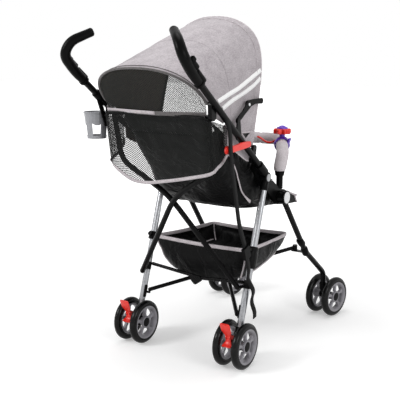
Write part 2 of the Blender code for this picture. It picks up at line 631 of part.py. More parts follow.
def clamp(name, side):
    """Collar on the rear leg that holds the basket's corner."""
    z = BASKET_REAR.z
    middle = side_of((LEG_PIVOT.x + (REAR_LEG_FOOT.x - LEG_PIVOT.x) * 0.5, leg_at(z), z), side)
    line = (side_of(LEG_PIVOT, side) - side_of(REAR_LEG_FOOT, side)).normalized()
    body = cylinder(f"basket_clamp_{name}", middle - line * 0.014, middle + line * 0.014, REAR_LEG_RADIUS + 0.005,
                    pivot=middle)
    knob = cylinder(f"add_knob_{name}", middle, middle + Vector((0, 0.021, 0.012)), 0.0075)
    boolean(body, knob, "UNION")
    bore = cylinder(f"cut_clamp_{name}", middle - line * 0.03, middle + line * 0.03, REAR_LEG_RADIUS + GAP, steps=12)
    boolean(body, bore, "DIFFERENCE")


def scissor_tube(name, side, layer):
    """Bent tube that rises from one rear leg, crosses behind the seat and ends beside the other handle."""
    shift = Vector((0, layer, 0))
    points = [side_of(p, side) + shift for p in (X_FOOT, X_CROSS, X_ELBOW, X_SHOULDER, X_TOP)]
    foot = points[0]
    line = (points[1] - foot).normalized()
    points[0] = foot - line * 0.002
    body = tube(f"scissor_tube_{name}", rounded_path(points, 0.035), X_TUBE_RADIUS, BLACK_STEEL, foot)
    boolean(body, ball(f"add_foot_{name}", foot, BALL_RADIUS["scissor"], line), "UNION")


def scissor_bar(name, side, lift):
    """Straight bar under the basket, from a rear leg to the ledge on the opposite front leg."""
    rear = side_of(BAR_REAR, side)
    front = side_of(BAR_FRONT, side)
    ahead = Vector((0, 0, lift))
    body = tube(f"lower_bar_{name}", [rear + ahead, front + ahead], BAR_RADIUS, BLACK_STEEL, rear + ahead, 10)
    boolean(body, ball(f"add_foot_bar_{name}", rear + ahead, BALL_RADIUS["bar"], front - rear), "UNION")
    high = Vector((0, 0, EYE_HALF))
    boolean(body, cylinder(f"add_eye_bar_{name}", front + ahead - high, front + ahead + high, 0.009), "UNION")


def stay(name, side, layer):
    """Half of the stay between the rear legs, hinged at its middle."""
    foot = side_of(STAY_FOOT, side)
    middle = Vector((0, STAY_FOOT.y, STAY_MIDDLE_Z))
    shift = Vector((0, layer, 0))
    past = (middle - foot).normalized() * 0.008
    body = tube(f"stay_{name}", [foot + shift, middle + shift + past], STAY_RADIUS, BLACK_STEEL, foot + shift, 10)
    boolean(body, ball(f"add_foot_stay_{name}", foot + shift, BALL_RADIUS["stay"], past), "UNION")
    if side < 0:
        outline = hull_outline([(-0.020, middle.z, 0.011), (0.004, middle.z, 0.011), (-0.006, middle.z - 0.012, 0.009)])
        pedal = prism(f"add_pedal_{name}", outline, middle.y + layer + 0.001, middle.y + layer + 0.009, axis="Y")
        boolean(body, pedal, "UNION")


def basket():
    """Open-topped fabric basket, hung between the legs."""
    bm = bmesh.new()

    def ring(inset, floor):
        corners = []
        for spot, side in ((BASKET_REAR, 1), (BASKET_REAR, -1), (BASKET_FRONT, -1), (BASKET_FRONT, 1)):
            rear = spot is BASKET_REAR
            drop = BASKET_TAPER if floor else 0.0
            z = (BASKET_FLOOR_REAR_Z if rear else BASKET_FLOOR_FRONT_Z) if floor else spot.z
            z += BASKET_WALL if floor and inset else 0.0
            y = spot.y - (inset + drop) * (1 if rear else -1)
            corners.append(Vector((side * (spot.x - inset - drop), y, z)))
        points = []
        for a, b in zip(corners, corners[1:] + corners[:1]):
            for i in range(5):
                p = a.lerp(b, i / 5)
                sag = math.sin(math.pi * i / 5) * (0.0 if floor else 0.007)
                points.append(bm.verts.new(p - Vector((0, 0, sag))))
        return points

    rings = [ring(0.0, False), ring(0.0, True), ring(BASKET_WALL, True), ring(BASKET_WALL, False)]
    count = len(rings[0])
    for low, high in ((rings[0], rings[1]), (rings[2], rings[3]), (rings[3], rings[0])):
        for i in range(count):
            j = (i + 1) % count
            bm.faces.new((low[i], low[j], high[j], high[i]))
    bm.faces.new(rings[1])
    bm.faces.new(rings[2])
    body = finish("basket", bm, BLACK_FABRIC)
    # Cords at the corners, to the clamps behind and to the front legs ahead
    for name, side in SIDES:
        for spot, inner, outer, inset in ((BASKET_REAR, 0.0105, BASKET_TAB_REAR, -0.0065),
                                          (BASKET_FRONT, 0.0065, BASKET_TAB_FRONT, 0.0105)):
            y, z = spot.y + inset, spot.z - 0.0086
            cord = cylinder(f"add_cord_{name}_{inset}", (side * (spot.x - inner), y, z), (side * outer, y, z),
                            BASKET_CORD_RADIUS, steps=10)
            boolean(body, cord, "UNION")


def pad_mesh(start, end, half, thickness, crown, rows=6, columns=6):
    """A pad between two lines, drawn in at its sides and crowned on both faces."""
    line = (end - start).normalized()
    normal = Vector((0, -line.z, line.y))
    bm = bmesh.new()
    grids = []
    for direction in (1, -1):
        grid = []
        for i in range(rows + 1):
            v = i / rows
            row = []
            for j in range(columns + 1):
                u = 2 * j / columns - 1
                rise = (1 - u ** 4) * (1 - (2 * v - 1) ** 4)
                lift = thickness * 0.28 + crown * rise
                point = start.lerp(end, v) + Vector((u * half * (1 - 0.003 * (1 - (2 * v - 1) ** 2)), 0, 0))
                row.append(bm.verts.new(point + normal * direction * lift))
            grid.append(row)
        grids.append(grid)
    for grid in grids:
        for i in range(rows):
            for j in range(columns):
                bm.faces.new((grid[i][j], grid[i + 1][j], grid[i + 1][j + 1], grid[i][j + 1]))
    top, low = grids
    for i in range(rows):
        for j in (0, columns):
            bm.faces.new((top[i][j], top[i + 1][j], low[i + 1][j], low[i][j]))
    for j in range(columns):
        for i in (0, rows):
            bm.faces.new((top[i][j], top[i][j + 1], low[i][j + 1], low[i][j]))
    return bm


def seat():
    """Seat cushion, reclined back and the side panels that close the bucket."""
    crown = PAD_THICKNESS * 0.22
    finish("seat_cushion", pad_mesh(SEAT_FRONT, SEAT_REAR - Vector((0, 0.014, 0)), SEAT_HALF, PAD_THICKNESS, crown),
           BLACK_FABRIC)
    start = SEAT_REAR + Vector((0, 0.012, 0.020))
    finish("seat_back", pad_mesh(start, SEAT_TOP, SEAT_HALF, PAD_THICKNESS, crown), BLACK_FABRIC, start)
    for name, side in SIDES:
        low, high = sorted((side * (SEAT_HALF + GAP), side * (SEAT_HALF + GAP + PANEL_THICKNESS)))
        below = TUBE_RADIUS + GAP + 0.001
        outline = [(SEAT_FRONT.y + 0.020, SEAT_FRONT.z + 0.010), (SEAT_REAR.y, SEAT_REAR.z + 0.012)]
        outline += [(SEAT_TOP.y - 0.012, SEAT_TOP.z - 0.016)]
        for distance in (0.420, 0.240, 0.060):
            p = handle_at(distance, 1)
            outline.append((p.y, p.z - below))
        outline.append((SEAT_FRONT.y + 0.060, SEAT_FRONT.z + 0.040))
        panel = prism(f"side_panel_{name}", outline, low, high, BLACK_FABRIC)
        # A flap reaches out under the handle tube that the panel hangs from.
        ends = [handle_at(distance, 1) for distance in PANEL_FLAP]
        flap = [(p.y, p.z - drop) for p, drop in zip(ends, (0.0162, 0.0162))]
        flap += [(p.y, p.z - drop) for p, drop in zip(reversed(ends), (0.0132, 0.0132))]
        low, high = sorted((side * (SEAT_HALF + GAP + 0.001), side * (HALF_WIDTH + 0.002)))
        boolean(panel, prism(f"add_flap_{name}", flap, low, high), "UNION")


def rear_net():
    """Net that wraps behind the seat from one handle to the other, with a rounded hem."""
    columns = []
    for side in (-1, 1):
        half = [(side * x, y, top, hem, Vector((-side * dx, -dy, 0))) for x, y, top, hem, dx, dy in NET_COLUMNS]
        columns += half if side > 0 else list(reversed(half[1:]))
    rows = []
    for i in range(6):
        row = []
        for x, y, top, hem, _ in columns:
            z = top + (hem - top) * i / 5
            row.append(Vector((x, y - NET_LEAN * (NET_COLUMNS[0][2] - z), z)))
        rows.append(row)
    finish("rear_net", sheet_mesh(rows, lambda i, j: columns[j][4] * NET_THICKNESS), NET_FABRIC)


def rear_window():
    """Net that closes the canopy's rear hoop."""
    top = arch(0.0, HOOP_STEPS, WINDOW_INSET)
    chord = [Vector((p.x, CANOPY_REAR.y - 0.006, CANOPY_REAR.z - 0.010)) for p in top]
    rows = [[high.lerp(low, i / 3) for high, low in zip(top, chord)] for i in range(4)]
    finish("rear_window", sheet_mesh(rows, lambda i, j: Vector((0, 0.7, -0.7)) * NET_THICKNESS), NET_FABRIC)


def arch(part, steps=HOOP_STEPS, shrink=0.0):
    """One hoop of the canopy, from the left foot to the right; part 0 is the rear hoop and 1 the front one."""
    foot = CANOPY_REAR.lerp(CANOPY_PIVOT, part)
    apex = CANOPY_REAR_APEX.lerp(CANOPY_FRONT_APEX, part)
    swell = math.sin(math.pi * part) * CANOPY_BULGE
    points = []
    for i in range(steps + 1):
        turn = math.pi * i / steps
        power = HOOP_POWER + (FRONT_HOOP_POWER - HOOP_POWER) * part
        across = math.copysign(abs(math.cos(turn)) ** power, math.cos(turn))
        rise = abs(math.sin(turn)) ** power
        x = across * (foot.x - shrink) * (1 + FRONT_WIDENING * part * math.sin(turn) ** 2 * abs(across))
        base = Vector((0, foot.y, foot.z))
        up = Vector((0, apex.y - foot.y, apex.z - foot.z))
        length = up.length
        up = up * ((length + swell - shrink) / length)
        points.append(base + up * rise + Vector((x, 0, 0)))
    return points


def canopy():
    """Two gores of fabric and the front bow that spreads them."""
    for name, start, end in (("rear", 0.0, 0.5), ("front", 0.5, 1.0)):
        trim = 0.0005
        parts = [start + (trim if start else 0) + (end - start - 2 * trim) * i / 4 for i in range(5)]
        outer = [arch(p) for p in parts]
        inner = [arch(p, shrink=CANOPY_SKIN) for p in parts]
        bm = sheet_mesh(outer, lambda i, j: inner[i][j] - outer[i][j])
        finish(f"canopy_{name}", bm, GREY_FABRIC, (0, CANOPY_PIVOT.y, CANOPY_PIVOT.z))
    path = arch(0.975, 14, shrink=CANOPY_SKIN + 0.006)
    section = [(-0.004, -0.0015), (0.004, -0.0015), (0.004, 0.0015), (-0.004, 0.0015)]
    bow = finish("canopy_bow", sweep_mesh(path, section, up=(0, 1, 0)), BLACK_PLASTIC,
                 (0, CANOPY_PIVOT.y, CANOPY_PIVOT.z))
    for side in (-1, 1):
        spot = path[-1 if side < 0 else 0]
        rim = side * (CANOPY_HALF - CANOPY_SKIN - GAP)
        disc = cylinder(f"add_bow_foot_{side}", (spot.x - side * 0.002, spot.y, spot.z), (rim, spot.y, spot.z), 0.009)
        boolean(bow, disc, "UNION")


def braces(name, side):
    """Two-link folding brace that locks the canopy open."""
    base, knee, tip = BRACE_BASE, BRACE_KNEE, BRACE_TIP
    layer = BRACE_IN + BRACE_THICK + GAP
    low, high = sorted((side * layer, side * (layer + BRACE_THICK)))
    outline = hull_outline([(base.y, base.z, 0.007), (knee.y, knee.z, 0.0075)], 10)
    prism(f"brace_lower_{name}", outline, low, high, BLACK_PLASTIC, (side * layer, base.y, base.z))
    low, high = sorted((side * BRACE_IN, side * (BRACE_IN + BRACE_THICK)))
    outline = hull_outline([(knee.y, knee.z, 0.0075), (tip.y, tip.z, 0.0065)], 10)
    prism(f"brace_upper_{name}", outline, low, high, BLACK_PLASTIC, (side * BRACE_IN, knee.y, knee.z))


def toy_bar(name, side):
    """Half of the padded bar in front of the child; it turns on the bracket's post."""
    points = [side_of(BUMPER_FOOT, side)] + [side_of(p, side) for p in BUMPER_POINTS]
    points[-1].x = side * GAP / 2
    path = rounded_path(points, BUMPER_BEND, 4)
    finish(f"toy_bar_{name}", sweep_mesh(path, circle(BUMPER_RADIUS, 12), up=(0, 1, 0)), GREY_FABRIC,
           side_of(BUMPER_FOOT, side))


def toys():
    """Purple ring round the right half of the bar, with a red flower that spins on top."""
    near, far = (side_of(p, -1) for p in BUMPER_POINTS[1:3])
    line = (far - near).normalized()
    centre = near.lerp(far, RING_PLACE)
    half = 0.014
    inner, outer = BUMPER_RADIUS + GAP, BUMPER_RADIUS + 0.0065
    profile = [(-half, inner), (half, inner), (half, outer - 0.002), (half * 0.4, outer), (-half * 0.4, outer),
               (-half, outer - 0.002)]
    ring = finish("toy_ring", lathe_mesh(profile, centre, 20, line, loop=True), PURPLE_PLASTIC, centre)
    top = centre + Vector((0, 0, outer))
    post = cylinder("add_toy_post", centre + Vector((0, 0, inner + 0.002)), top + Vector((0, 0, 0.008)), 0.010)
    boolean(ring, post, "UNION")
    outline = []
    petals = 6
    for i in range(petals * 6):
        turn = 2 * math.pi * i / (petals * 6)
        radius = 0.029 + 0.006 * math.cos(petals * turn)
        outline.append((centre.x + radius * math.cos(turn), centre.y + radius * math.sin(turn)))
    base = top.z + 0.008 + GAP
    pivot = (centre.x, centre.y, base)
    flower = prism("toy_flower", outline, base, base + 0.016, RED_PLASTIC, pivot, axis="Z")
    profile = [(0, 0.017), (0.004, 0.017), (0.008, 0.012), (0.010, 0.005)]
    cap = finish("toy_cap", lathe_mesh(profile, (centre.x, centre.y, base + 0.016 + GAP), 16, (0, 0, 1)),
                 PURPLE_PLASTIC, pivot)
    return flower, cap


def cup_holder():
    """Tapered cup with windows, on a clip that grips the left handle tube."""
    rim = CUP_CENTRE.z + CUP_HEIGHT
    profile = [
        (0.0, CUP_FOOT_RADIUS), (CUP_HEIGHT - 0.006, CUP_TOP_RADIUS - 0.002), (CUP_HEIGHT - 0.004, CUP_TOP_RADIUS),
        (CUP_HEIGHT, CUP_TOP_RADIUS), (CUP_HEIGHT, CUP_TOP_RADIUS - CUP_WALL - 0.001),
        (CUP_WALL, CUP_FOOT_RADIUS - CUP_WALL),
    ]
    cup = finish("cup_holder", lathe_mesh(profile, CUP_CENTRE, 20, (0, 0, 1)), GREY_PLASTIC, CUP_CENTRE)
    windows = 4
    for k in range(windows):
        turn = 2 * math.pi * (k + 0.5) / windows
        out = Vector((math.cos(turn), math.sin(turn), 0))
        across = Vector((-out.y, out.x, 0))
        bm = bmesh.new()
        corners = []
        for width, height in ((0.013, 0.010), (-0.013, 0.010), (-0.016, 0.050), (-0.006, 0.044), (0.006, 0.044),
                              (0.016, 0.050)):
            corners.append(CUP_CENTRE + out * 0.018 + across * width + Vector((0, 0, height)))
        face = bm.faces.new([bm.verts.new(p) for p in corners])
        made = bmesh.ops.extrude_face_region(bm, geom=[face])
        moved = [v for v in made["geom"] if isinstance(v, bmesh.types.BMVert)]
        bmesh.ops.translate(bm, verts=moved, vec=out * 0.04)
        boolean(cup, finish(f"cut_cup_window_{k}", bm, GREY_PLASTIC), "DIFFERENCE")
    middle = handle_at(CUP_CLIP_PLACE, 1)
    line = side_of(HANDLE_LINE, 1)
    clip = cylinder("cup_clip", middle - line * 0.010, middle + line * 0.010, TUBE_RADIUS + 0.0035, pivot=middle)
    wall = CUP_CENTRE.x - CUP_TOP_RADIUS - GAP
    outline = [(middle.y - 0.009, middle.z), (middle.y + 0.009, middle.z), (CUP_CENTRE.y + 0.009, rim - 0.045),
               (CUP_CENTRE.y - 0.009, rim - 0.045)]
    tongue = prism("add_cup_tongue", outline, wall - 0.004, wall)
    boolean(clip, tongue, "UNION")
    bore = cylinder("cut_cup_clip", middle - line * 0.06, middle + line * 0.06, TUBE_RADIUS + GAP, steps=12)
    boolean(clip, bore, "DIFFERENCE")


def latch():
    """Red safety lever on the right side."""
    base = handle_at(0.335, -1)
    x = base.x - TUBE_RADIUS - GAP
    outline = hull_outline([(base.y, base.z - 0.002, 0.010), (base.y + 0.064, base.z - 0.020, 0.009)], 12)
    low, high = x - 0.008, x
    lever = prism("fold_latch", outline, low, high, RED_PLASTIC, (x, base.y, base.z))
    tab = prism("add_latch_tab", hull_outline([(base.y + 0.064, base.z - 0.020, 0.011)], 12), low - 0.004, high)
    boolean(lever, tab, "UNION")


def strap():
    """Webbing that hangs from a loop on the right handle, runs through its buckle and ends in a wavy tail."""
    top = handle_at(STRAP_PLACE, -1)
    hanging = [Vector((top.x - out, y, z)) for out, y, z in STRAP_DROPS]
    tail = [Vector((top.x - out, y, z)) for out, y, z in STRAP_TAIL]
    path = rounded_path([top - Vector((0.006, 0, 0))] + hanging + tail, 0.030, 2)
    half, thin = STRAP_WIDTH / 2, STRAP_THICKNESS / 2
    section = [(-half, -thin), (half, -thin), (half, thin), (-half, thin)]
    body = finish("side_strap", sweep_mesh(path, section, up=(0, 1, 0)), WEBBING, top)
    line = side_of(HANDLE_LINE, -1)
    loop = half * 0.9
    boolean(body, cylinder("add_strap_loop", top - line * loop, top + line * loop, TUBE_RADIUS + 0.0022), "UNION")
    bore = cylinder("cut_strap_loop", top - line * 2 * half, top + line * 2 * half, TUBE_RADIUS + GAP, steps=12)
    boolean(body, bore, "DIFFERENCE")
    start, end = hanging[-2:]
    middle, along = (start + end) / 2, (end - start).normalized()
    across = Vector((0, along.z, -along.y))
    corners = [middle + along * a * BUCKLE_LENGTH / 2 + across * b * BUCKLE_WIDTH / 2
               for a, b in ((-1, -1), (1, -1), (1, 1), (-1, 1))]
    buckle = prism("strap_buckle", [(p.y, p.z) for p in corners], middle.x - BUCKLE_DEPTH / 2,
                   middle.x + BUCKLE_DEPTH / 2, BLACK_PLASTIC, middle)
    wide, deep = half + 2 * GAP, thin + 2 * GAP
    slot = [(-wide, -deep), (wide, -deep), (wide, deep), (-wide, deep)]
    reach = along * BUCKLE_LENGTH
    boolean(buckle, finish("cut_buckle_slot", sweep_mesh([middle - reach, middle + reach], slot, up=(0, 1, 0)), WEBBING),
            "DIFFERENCE")


for side_name, side_sign in SIDES:
    front_leg(side_name, side_sign)
    caster(side_name, side_sign)
    wheel_pair("front", side_name, front_axle(side_sign), CASTER_AXIS, FRONT_PAIR_HALF)
    side_bracket(side_name, side_sign)
    handle(side_name, side_sign)
    grip(side_name, side_sign)
    rear_leg(side_name, side_sign)
    rear_hub(side_name, side_sign)
    wheel_pair("rear", side_name, side_of(REAR_AXLE, side_sign), Vector((1, 0, 0)), REAR_PAIR_HALF)
    brake(side_name, side_sign)
    clamp(side_name, side_sign)
    braces(side_name, side_sign)
    toy_bar(side_name, side_sign)
scissor_tube("rear", 1, X_LAYER)
scissor_tube("front", -1, 0.0)
scissor_bar("upper", 1, BAR_LAYER / 2)
scissor_bar("lower", -1, -BAR_LAYER / 2)
stay("right", -1, STAY_LAYER)
stay("left", 1, 0.0)
basket()
seat()
rear_net()
rear_window()
canopy()
toys()
cup_holder()
latch()
strap()
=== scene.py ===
# %% [markdown]
# # Dressing a folding stroller
# The CAD model already holds the stroller's frame, wheels and plain soft parts, each on the body it
# moves with. This script keeps that frame where it is and gives it its looks: cloth, net, padding,
# moulded plastic, rubber and tube. Every length is in metres, and +Z is up.

# %% Load the frame
import json
import math

import bmesh
import bpy
from mathutils import Matrix, Vector, noise


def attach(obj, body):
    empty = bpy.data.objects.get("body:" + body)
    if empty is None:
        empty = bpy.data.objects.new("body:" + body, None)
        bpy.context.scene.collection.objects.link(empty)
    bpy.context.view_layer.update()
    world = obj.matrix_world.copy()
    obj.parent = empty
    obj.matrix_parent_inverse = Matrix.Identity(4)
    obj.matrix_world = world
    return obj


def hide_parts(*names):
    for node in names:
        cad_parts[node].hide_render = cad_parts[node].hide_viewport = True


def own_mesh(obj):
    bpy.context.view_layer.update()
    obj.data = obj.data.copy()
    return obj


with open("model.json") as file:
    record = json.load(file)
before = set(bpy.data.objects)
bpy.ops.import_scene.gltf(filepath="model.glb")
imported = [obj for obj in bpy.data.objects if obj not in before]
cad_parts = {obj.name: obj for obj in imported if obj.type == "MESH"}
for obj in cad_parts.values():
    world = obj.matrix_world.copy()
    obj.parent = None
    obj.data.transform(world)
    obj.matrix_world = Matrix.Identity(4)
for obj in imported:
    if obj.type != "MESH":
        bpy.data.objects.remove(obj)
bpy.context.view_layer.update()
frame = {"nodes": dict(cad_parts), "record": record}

# %% [markdown]
# ## One origin for both models
# The part was drawn about a point on the floor between the axles, and then moved so that its box is
# centred. Reusing the drawing's numbers and the same move keeps each new piece on its CAD solid.

# %% The move from the drawing to the model
SHIFT = Vector((-0.0046, -0.1159, 0.0))
X, Y, Z = Vector((1, 0, 0)), Vector((0, 1, 0)), Vector((0, 0, 1))
SIDES = (("right", -1), ("left", 1))


def moved(point):
    """A drawing point in the model's own place."""
    return Vector(point) + SHIFT


def side_of(point, side):
    """A point given for the left side, on the asked side (+1 left, -1 right)."""
    return Vector((point[0] * side, point[1], point[2]))


# %% [markdown]
# ## The camera first
# A photograph's view is a place, a direction and a lens. The camera stands behind the stroller, to
# its right, at about the height of the handles, and looks slightly down.

# %% Camera
AZIMUTH, ELEVATION = math.radians(213.9602), math.radians(11.0434)
towards_camera = Vector((
    math.sin(AZIMUTH) * math.cos(ELEVATION),
    -math.cos(AZIMUTH) * math.cos(ELEVATION),
    math.sin(ELEVATION),
))
camera = bpy.data.objects.new("camera", bpy.data.cameras.new("camera"))
camera.data.lens = 66.92
camera.data.sensor_width = 36.0
camera.location = (-1.36869477, 2.12889382, 0.98438906)
camera.rotation_euler = towards_camera.to_track_quat("Z", "Y").to_euler()
bpy.context.collection.objects.link(camera)
bpy.context.scene.camera = camera
print("camera at", [round(c, 3) for c in camera.location])

# %% [markdown]
# ## Building a material from nodes
# A material is a small graph. One function adds a node, sets its fields and fills or links its
# inputs. A few more build the parts that each finish shares, so a finish reads as a short recipe.

# %% Node helper and colours


def linear(hex_colour):
    """An sRGB hex colour as the linear values that a shader works in."""
    parts = [int(hex_colour[i:i + 2], 16) / 255 for i in (1, 3, 5)]
    return (*[p / 12.92 if p <= 0.04045 else ((p + 0.055) / 1.055) ** 2.4 for p in parts], 1.0)


def add(tree, kind, inputs=None, **settings):
    """A node of a kind, with its settings and its inputs as values or as links."""
    node = tree.nodes.new(kind)
    for key, value in settings.items():
        setattr(node, key, value)
    for key, value in (inputs or {}).items():
        if isinstance(value, bpy.types.NodeSocket):
            tree.links.new(value, node.inputs[key])
        else:
            node.inputs[key].default_value = value
    return node


def maths(tree, operation, *values):
    """The result of an operation on values or patterns."""
    return add(tree, "ShaderNodeMath", dict(enumerate(values)), operation=operation).outputs[0]


def in_place(tree):
    """The shaded point in the piece's own space."""
    return add(tree, "ShaderNodeTexCoord").outputs["Object"]


def speckle(tree, place, scale, detail=2.0, **more):
    """A noise pattern at a place."""
    inputs = {"Vector": place, "Scale": scale, "Detail": detail, **more}
    return add(tree, "ShaderNodeTexNoise", inputs).outputs["Fac"]


def start(name, roughness, metallic=0.0, **sockets):
    """A named material with its Principled shader; other sockets are set by name."""
    made = bpy.data.materials.new(name)
    made.use_nodes = True
    shader = made.node_tree.nodes["Principled BSDF"]
    shader.inputs["Roughness"].default_value = roughness
    shader.inputs["Metallic"].default_value = metallic
    for key, value in sockets.items():
        shader.inputs[key.replace("_", " ")].default_value = value
    return made, made.node_tree, shader


def two_tone(tree, shader, factor, dark, light, low=0.3, high=0.7):
    """Colour the shader between two tones by a pattern."""
    ramp = add(tree, "ShaderNodeMapRange", {"Value": factor, "From Min": low, "From Max": high})
    mixed = add(tree, "ShaderNodeMix", {0: ramp.outputs[0], 6: linear(dark), 7: linear(light)},
                data_type="RGBA")
    tree.links.new(mixed.outputs[2], shader.inputs["Base Color"])


def vary_roughness(tree, shader, pattern, low, high):
    """Let the roughness follow a pattern."""
    rough = add(tree, "ShaderNodeMapRange", {"Value": pattern, "To Min": low, "To Max": high})
    tree.links.new(rough.outputs[0], shader.inputs["Roughness"])


def relief(tree, target, height, depth, strength):
    """Raise a shader, or a relief above this one, by a pattern; depth is in metres."""
    bump = add(tree, "ShaderNodeBump", {"Height": height, "Distance": depth, "Strength": strength})
    tree.links.new(bump.outputs["Normal"], target.inputs["Normal"])
    return bump


def speckled(name, dark, light, roughness, metallic, scale, detail, depth, strength, **sockets):
    """A finish with one fine grain, which gives both its tones and its relief."""
    made, tree, shader = start(name, roughness, metallic, **sockets)
    grain = speckle(tree, in_place(tree), scale, detail)
    two_tone(tree, shader, grain, dark, light)
    relief(tree, shader, grain, depth, strength)
    return made


# %% [markdown]
# ## Frame finishes
# The upper frame is steel tube with a black powder coat: a hard film with a faint orange peel that
# breaks up its long highlights. The rear legs are aluminium tube with a satin silver anodised film,
# whose draw lines run along the tube.

# %% Powder-coated steel and anodised aluminium


def anodised_tube():
    """Satin metal. Its draw lines are 1 mm apart and 300 mm long, and are drawn 2 mm apart."""
    made, tree, shader = start("anodised_aluminium", 0.30, 1.0)
    along = add(tree, "ShaderNodeMapping", {
        "Vector": in_place(tree), "Scale": (500.0, 500.0, 3.0)})
    lines = speckle(tree, along.outputs[0], 1.0)
    two_tone(tree, shader, lines, "#8A8B8E", "#A3A4A7")
    vary_roughness(tree, shader, lines, 0.24, 0.34)
    relief(tree, shader, lines, 0.0001, 0.15)
    return made


# Orange peel is about 1 mm wide; it is drawn at 4 mm so that it shows.
POWDER_COAT = speckled("powder_coated_steel", "#050505", "#0B0B0C", 0.24, 0.0, 250.0, 2.0, 0.0003,
                       0.25, Specular_IOR_Level=0.07, Coat_Weight=0.015, Coat_Roughness=0.15)
ANODISED = anodised_tube()

# %% [markdown]
# ## Moulded plastics and rubber
# Brackets, clamps and hubs are moulded nylon or polypropylene, whose tool is spark-eroded to a fine
# grain. One recipe serves them all, with each colour, gloss and grain as values. Tyres are foamed EVA
# with a smooth skin, and the hand grips are a softer, duller rubber.

# %% Moulded plastics


def moulded(name, dark, light, roughness, grain_mm=2.5, depth=0.00015, **sockets):
    """Plastic with a fine grain, and with flow marks in its tone and gloss."""
    made, tree, shader = start(name, roughness, IOR=1.49, **sockets)
    place = in_place(tree)
    flow = speckle(tree, place, 28.0)
    two_tone(tree, shader, flow, dark, light)
    vary_roughness(tree, shader, flow, roughness - 0.06, roughness + 0.08)
    relief(tree, shader, speckle(tree, place, 1000.0 / grain_mm, 3.0), depth, 0.3)
    return made


NYLON = moulded("moulded_black_nylon", "#050505", "#0B0B0C", 0.36, Specular_IOR_Level=0.05)
RED_ABS = moulded("moulded_red_abs", "#DC2014", "#EE3226", 0.34, depth=0.0001)
PURPLE_ABS = moulded("moulded_purple_abs", "#47189A", "#5824B4", 0.33, depth=0.0001)
VIOLET_ABS = moulded("moulded_violet_abs", "#5E35B8", "#7046CC", 0.36, depth=0.0001)
RIM_PLASTIC = moulded("moulded_grey_polypropylene", "#78767B", "#8D8B91", 0.40)
CUP_PLASTIC = moulded("polished_grey_polypropylene", "#838488", "#96979B", 0.28, depth=0.0001)
EVA_SKIN = moulded("eva_tyre_skin", "#050505", "#0B0B0B", 0.24, 3.0, 0.0002,
                   Specular_IOR_Level=0.07, Coat_Weight=0.2, Coat_Roughness=0.2)
GRIP_RUBBER = moulded("soft_grip_rubber", "#040404", "#090909", 0.32, 2.0, 0.0002,
                      Specular_IOR_Level=0.06)
# Near white. On the rivets this tone is a painted glint: it stands in for the bright reflection of
# their plated heads.
PALE_CAP_AND_RIVET_GLINT = moulded("pale_grey_cap_and_painted_rivet_glint", "#DCDDDE", "#E8E9EA", 0.38)
DULL_CAP = moulded("satin_grey_cap", "#9FA0A2", "#B0B1B3", 0.35)
NICKEL = speckled("nickel_plated_steel", "#B5B4B0", "#DEDDDA", 0.22, 1.0, 300.0, 3.0, 0.0001, 0.2)
print("hard finishes", [m.name for m in bpy.data.materials])

# %% [markdown]
# ## Cloth
# The canopy and the toy bar are a melange weave: dark and pale polyester yarns side by side, so the
# grey is made of short horizontal flecks. The toy bar's copy is drawn paler, as painted light for the
# shade on its round sleeves. The seat and basket are black nylon taffeta, thin and a little glossy,
# which shows each crease. The hood's lining is a dark brown-grey.

# %% Melange weave and taffeta


def melange(name, dark, light, fleck_mm=3.2):
    """Flecked weave with faint clouds and creases."""
    made, tree, shader = start(name, 0.92, Sheen_Weight=0.2, Sheen_Roughness=0.5)
    place = in_place(tree)
    # Yarns are 0.4 mm wide with flecks of 2 mm; both are drawn about three times as coarse.
    wide = 1000.0 / fleck_mm
    along = add(tree, "ShaderNodeMapping", {
        "Vector": place, "Scale": (0.6 * wide, 0.6 * wide, 1.6 * wide)})
    fleck = speckle(tree, along.outputs[0], 1.0, 3.0, Roughness=0.7)
    both = maths(tree, "MULTIPLY_ADD", speckle(tree, place, 30.0), 0.3, fleck)
    two_tone(tree, shader, both, dark, light, 0.47, 0.83)
    yarns = relief(tree, shader, fleck, 0.0004, 0.3)
    relief(tree, yarns, speckle(tree, place, 9.0, Distortion=0.8), 0.004, 0.3)
    return made


def taffeta(name, dark, light, gloss=0.42, crease_depth=0.014, shine=0.09):
    """Thin glossy cloth with many creases."""
    made, tree, shader = start(name, gloss, Sheen_Weight=0.03, Sheen_Roughness=0.4, IOR=1.45,
                               Specular_IOR_Level=shine)
    place = in_place(tree)
    # Threads of 0.2 mm, drawn as a 2.5 mm grain.
    grain = speckle(tree, place, 400.0)
    two_tone(tree, shader, grain, dark, light)
    threads = relief(tree, shader, grain, 0.0003, 0.3)
    relief(tree, threads, speckle(tree, place, 11.0, 4.0, Distortion=1.8), crease_depth, 0.9)
    return made


MELANGE = melange("grey_melange_weave", "#948D91", "#BFB8BC")
# A paler copy of the canopy's melange for the toy bar: painted light that stands in for light on the
# sleeves' shaded sides.
MELANGE_WITH_PAINTED_LIGHT = melange("melange_weave_with_painted_light", "#B3ABAF", "#D6CFD2")
PIPING = melange("pale_melange_binding", "#A79FA3", "#CFC8CB", 4.0)
DARK_BINDING = melange("charcoal_binding", "#4A4747", "#6C6868", 4.0)
TAFFETA = taffeta("black_nylon_taffeta", "#050505", "#0B0B0C")
LINING = taffeta("brown_grey_lining", "#4A403A", "#675A52", 0.75, 0.010, 0.1)

# %% [markdown]
# ## Net
# The back of the seat and the canopy's window are warp-knitted net. Its holes really are open, so the
# pattern drives Alpha: two families of threads cross on the diagonal. The sheet's own UV map carries
# the pattern, so the holes keep their size wherever the net bends.

# %% Net


def cloth_place(tree):
    """The U and V of a sheet's own map, as outputs X and Y."""
    return add(tree, "ShaderNodeSeparateXYZ", {0: add(tree, "ShaderNodeUVMap").outputs[0]}).outputs


def ridges(tree, place, per_metre):
    """A zigzag pattern: 0 in the middle of each thread or rib, and 1 halfway to the next."""
    return maths(tree, "PINGPONG", maths(tree, "MULTIPLY", place, per_metre), 1.0)


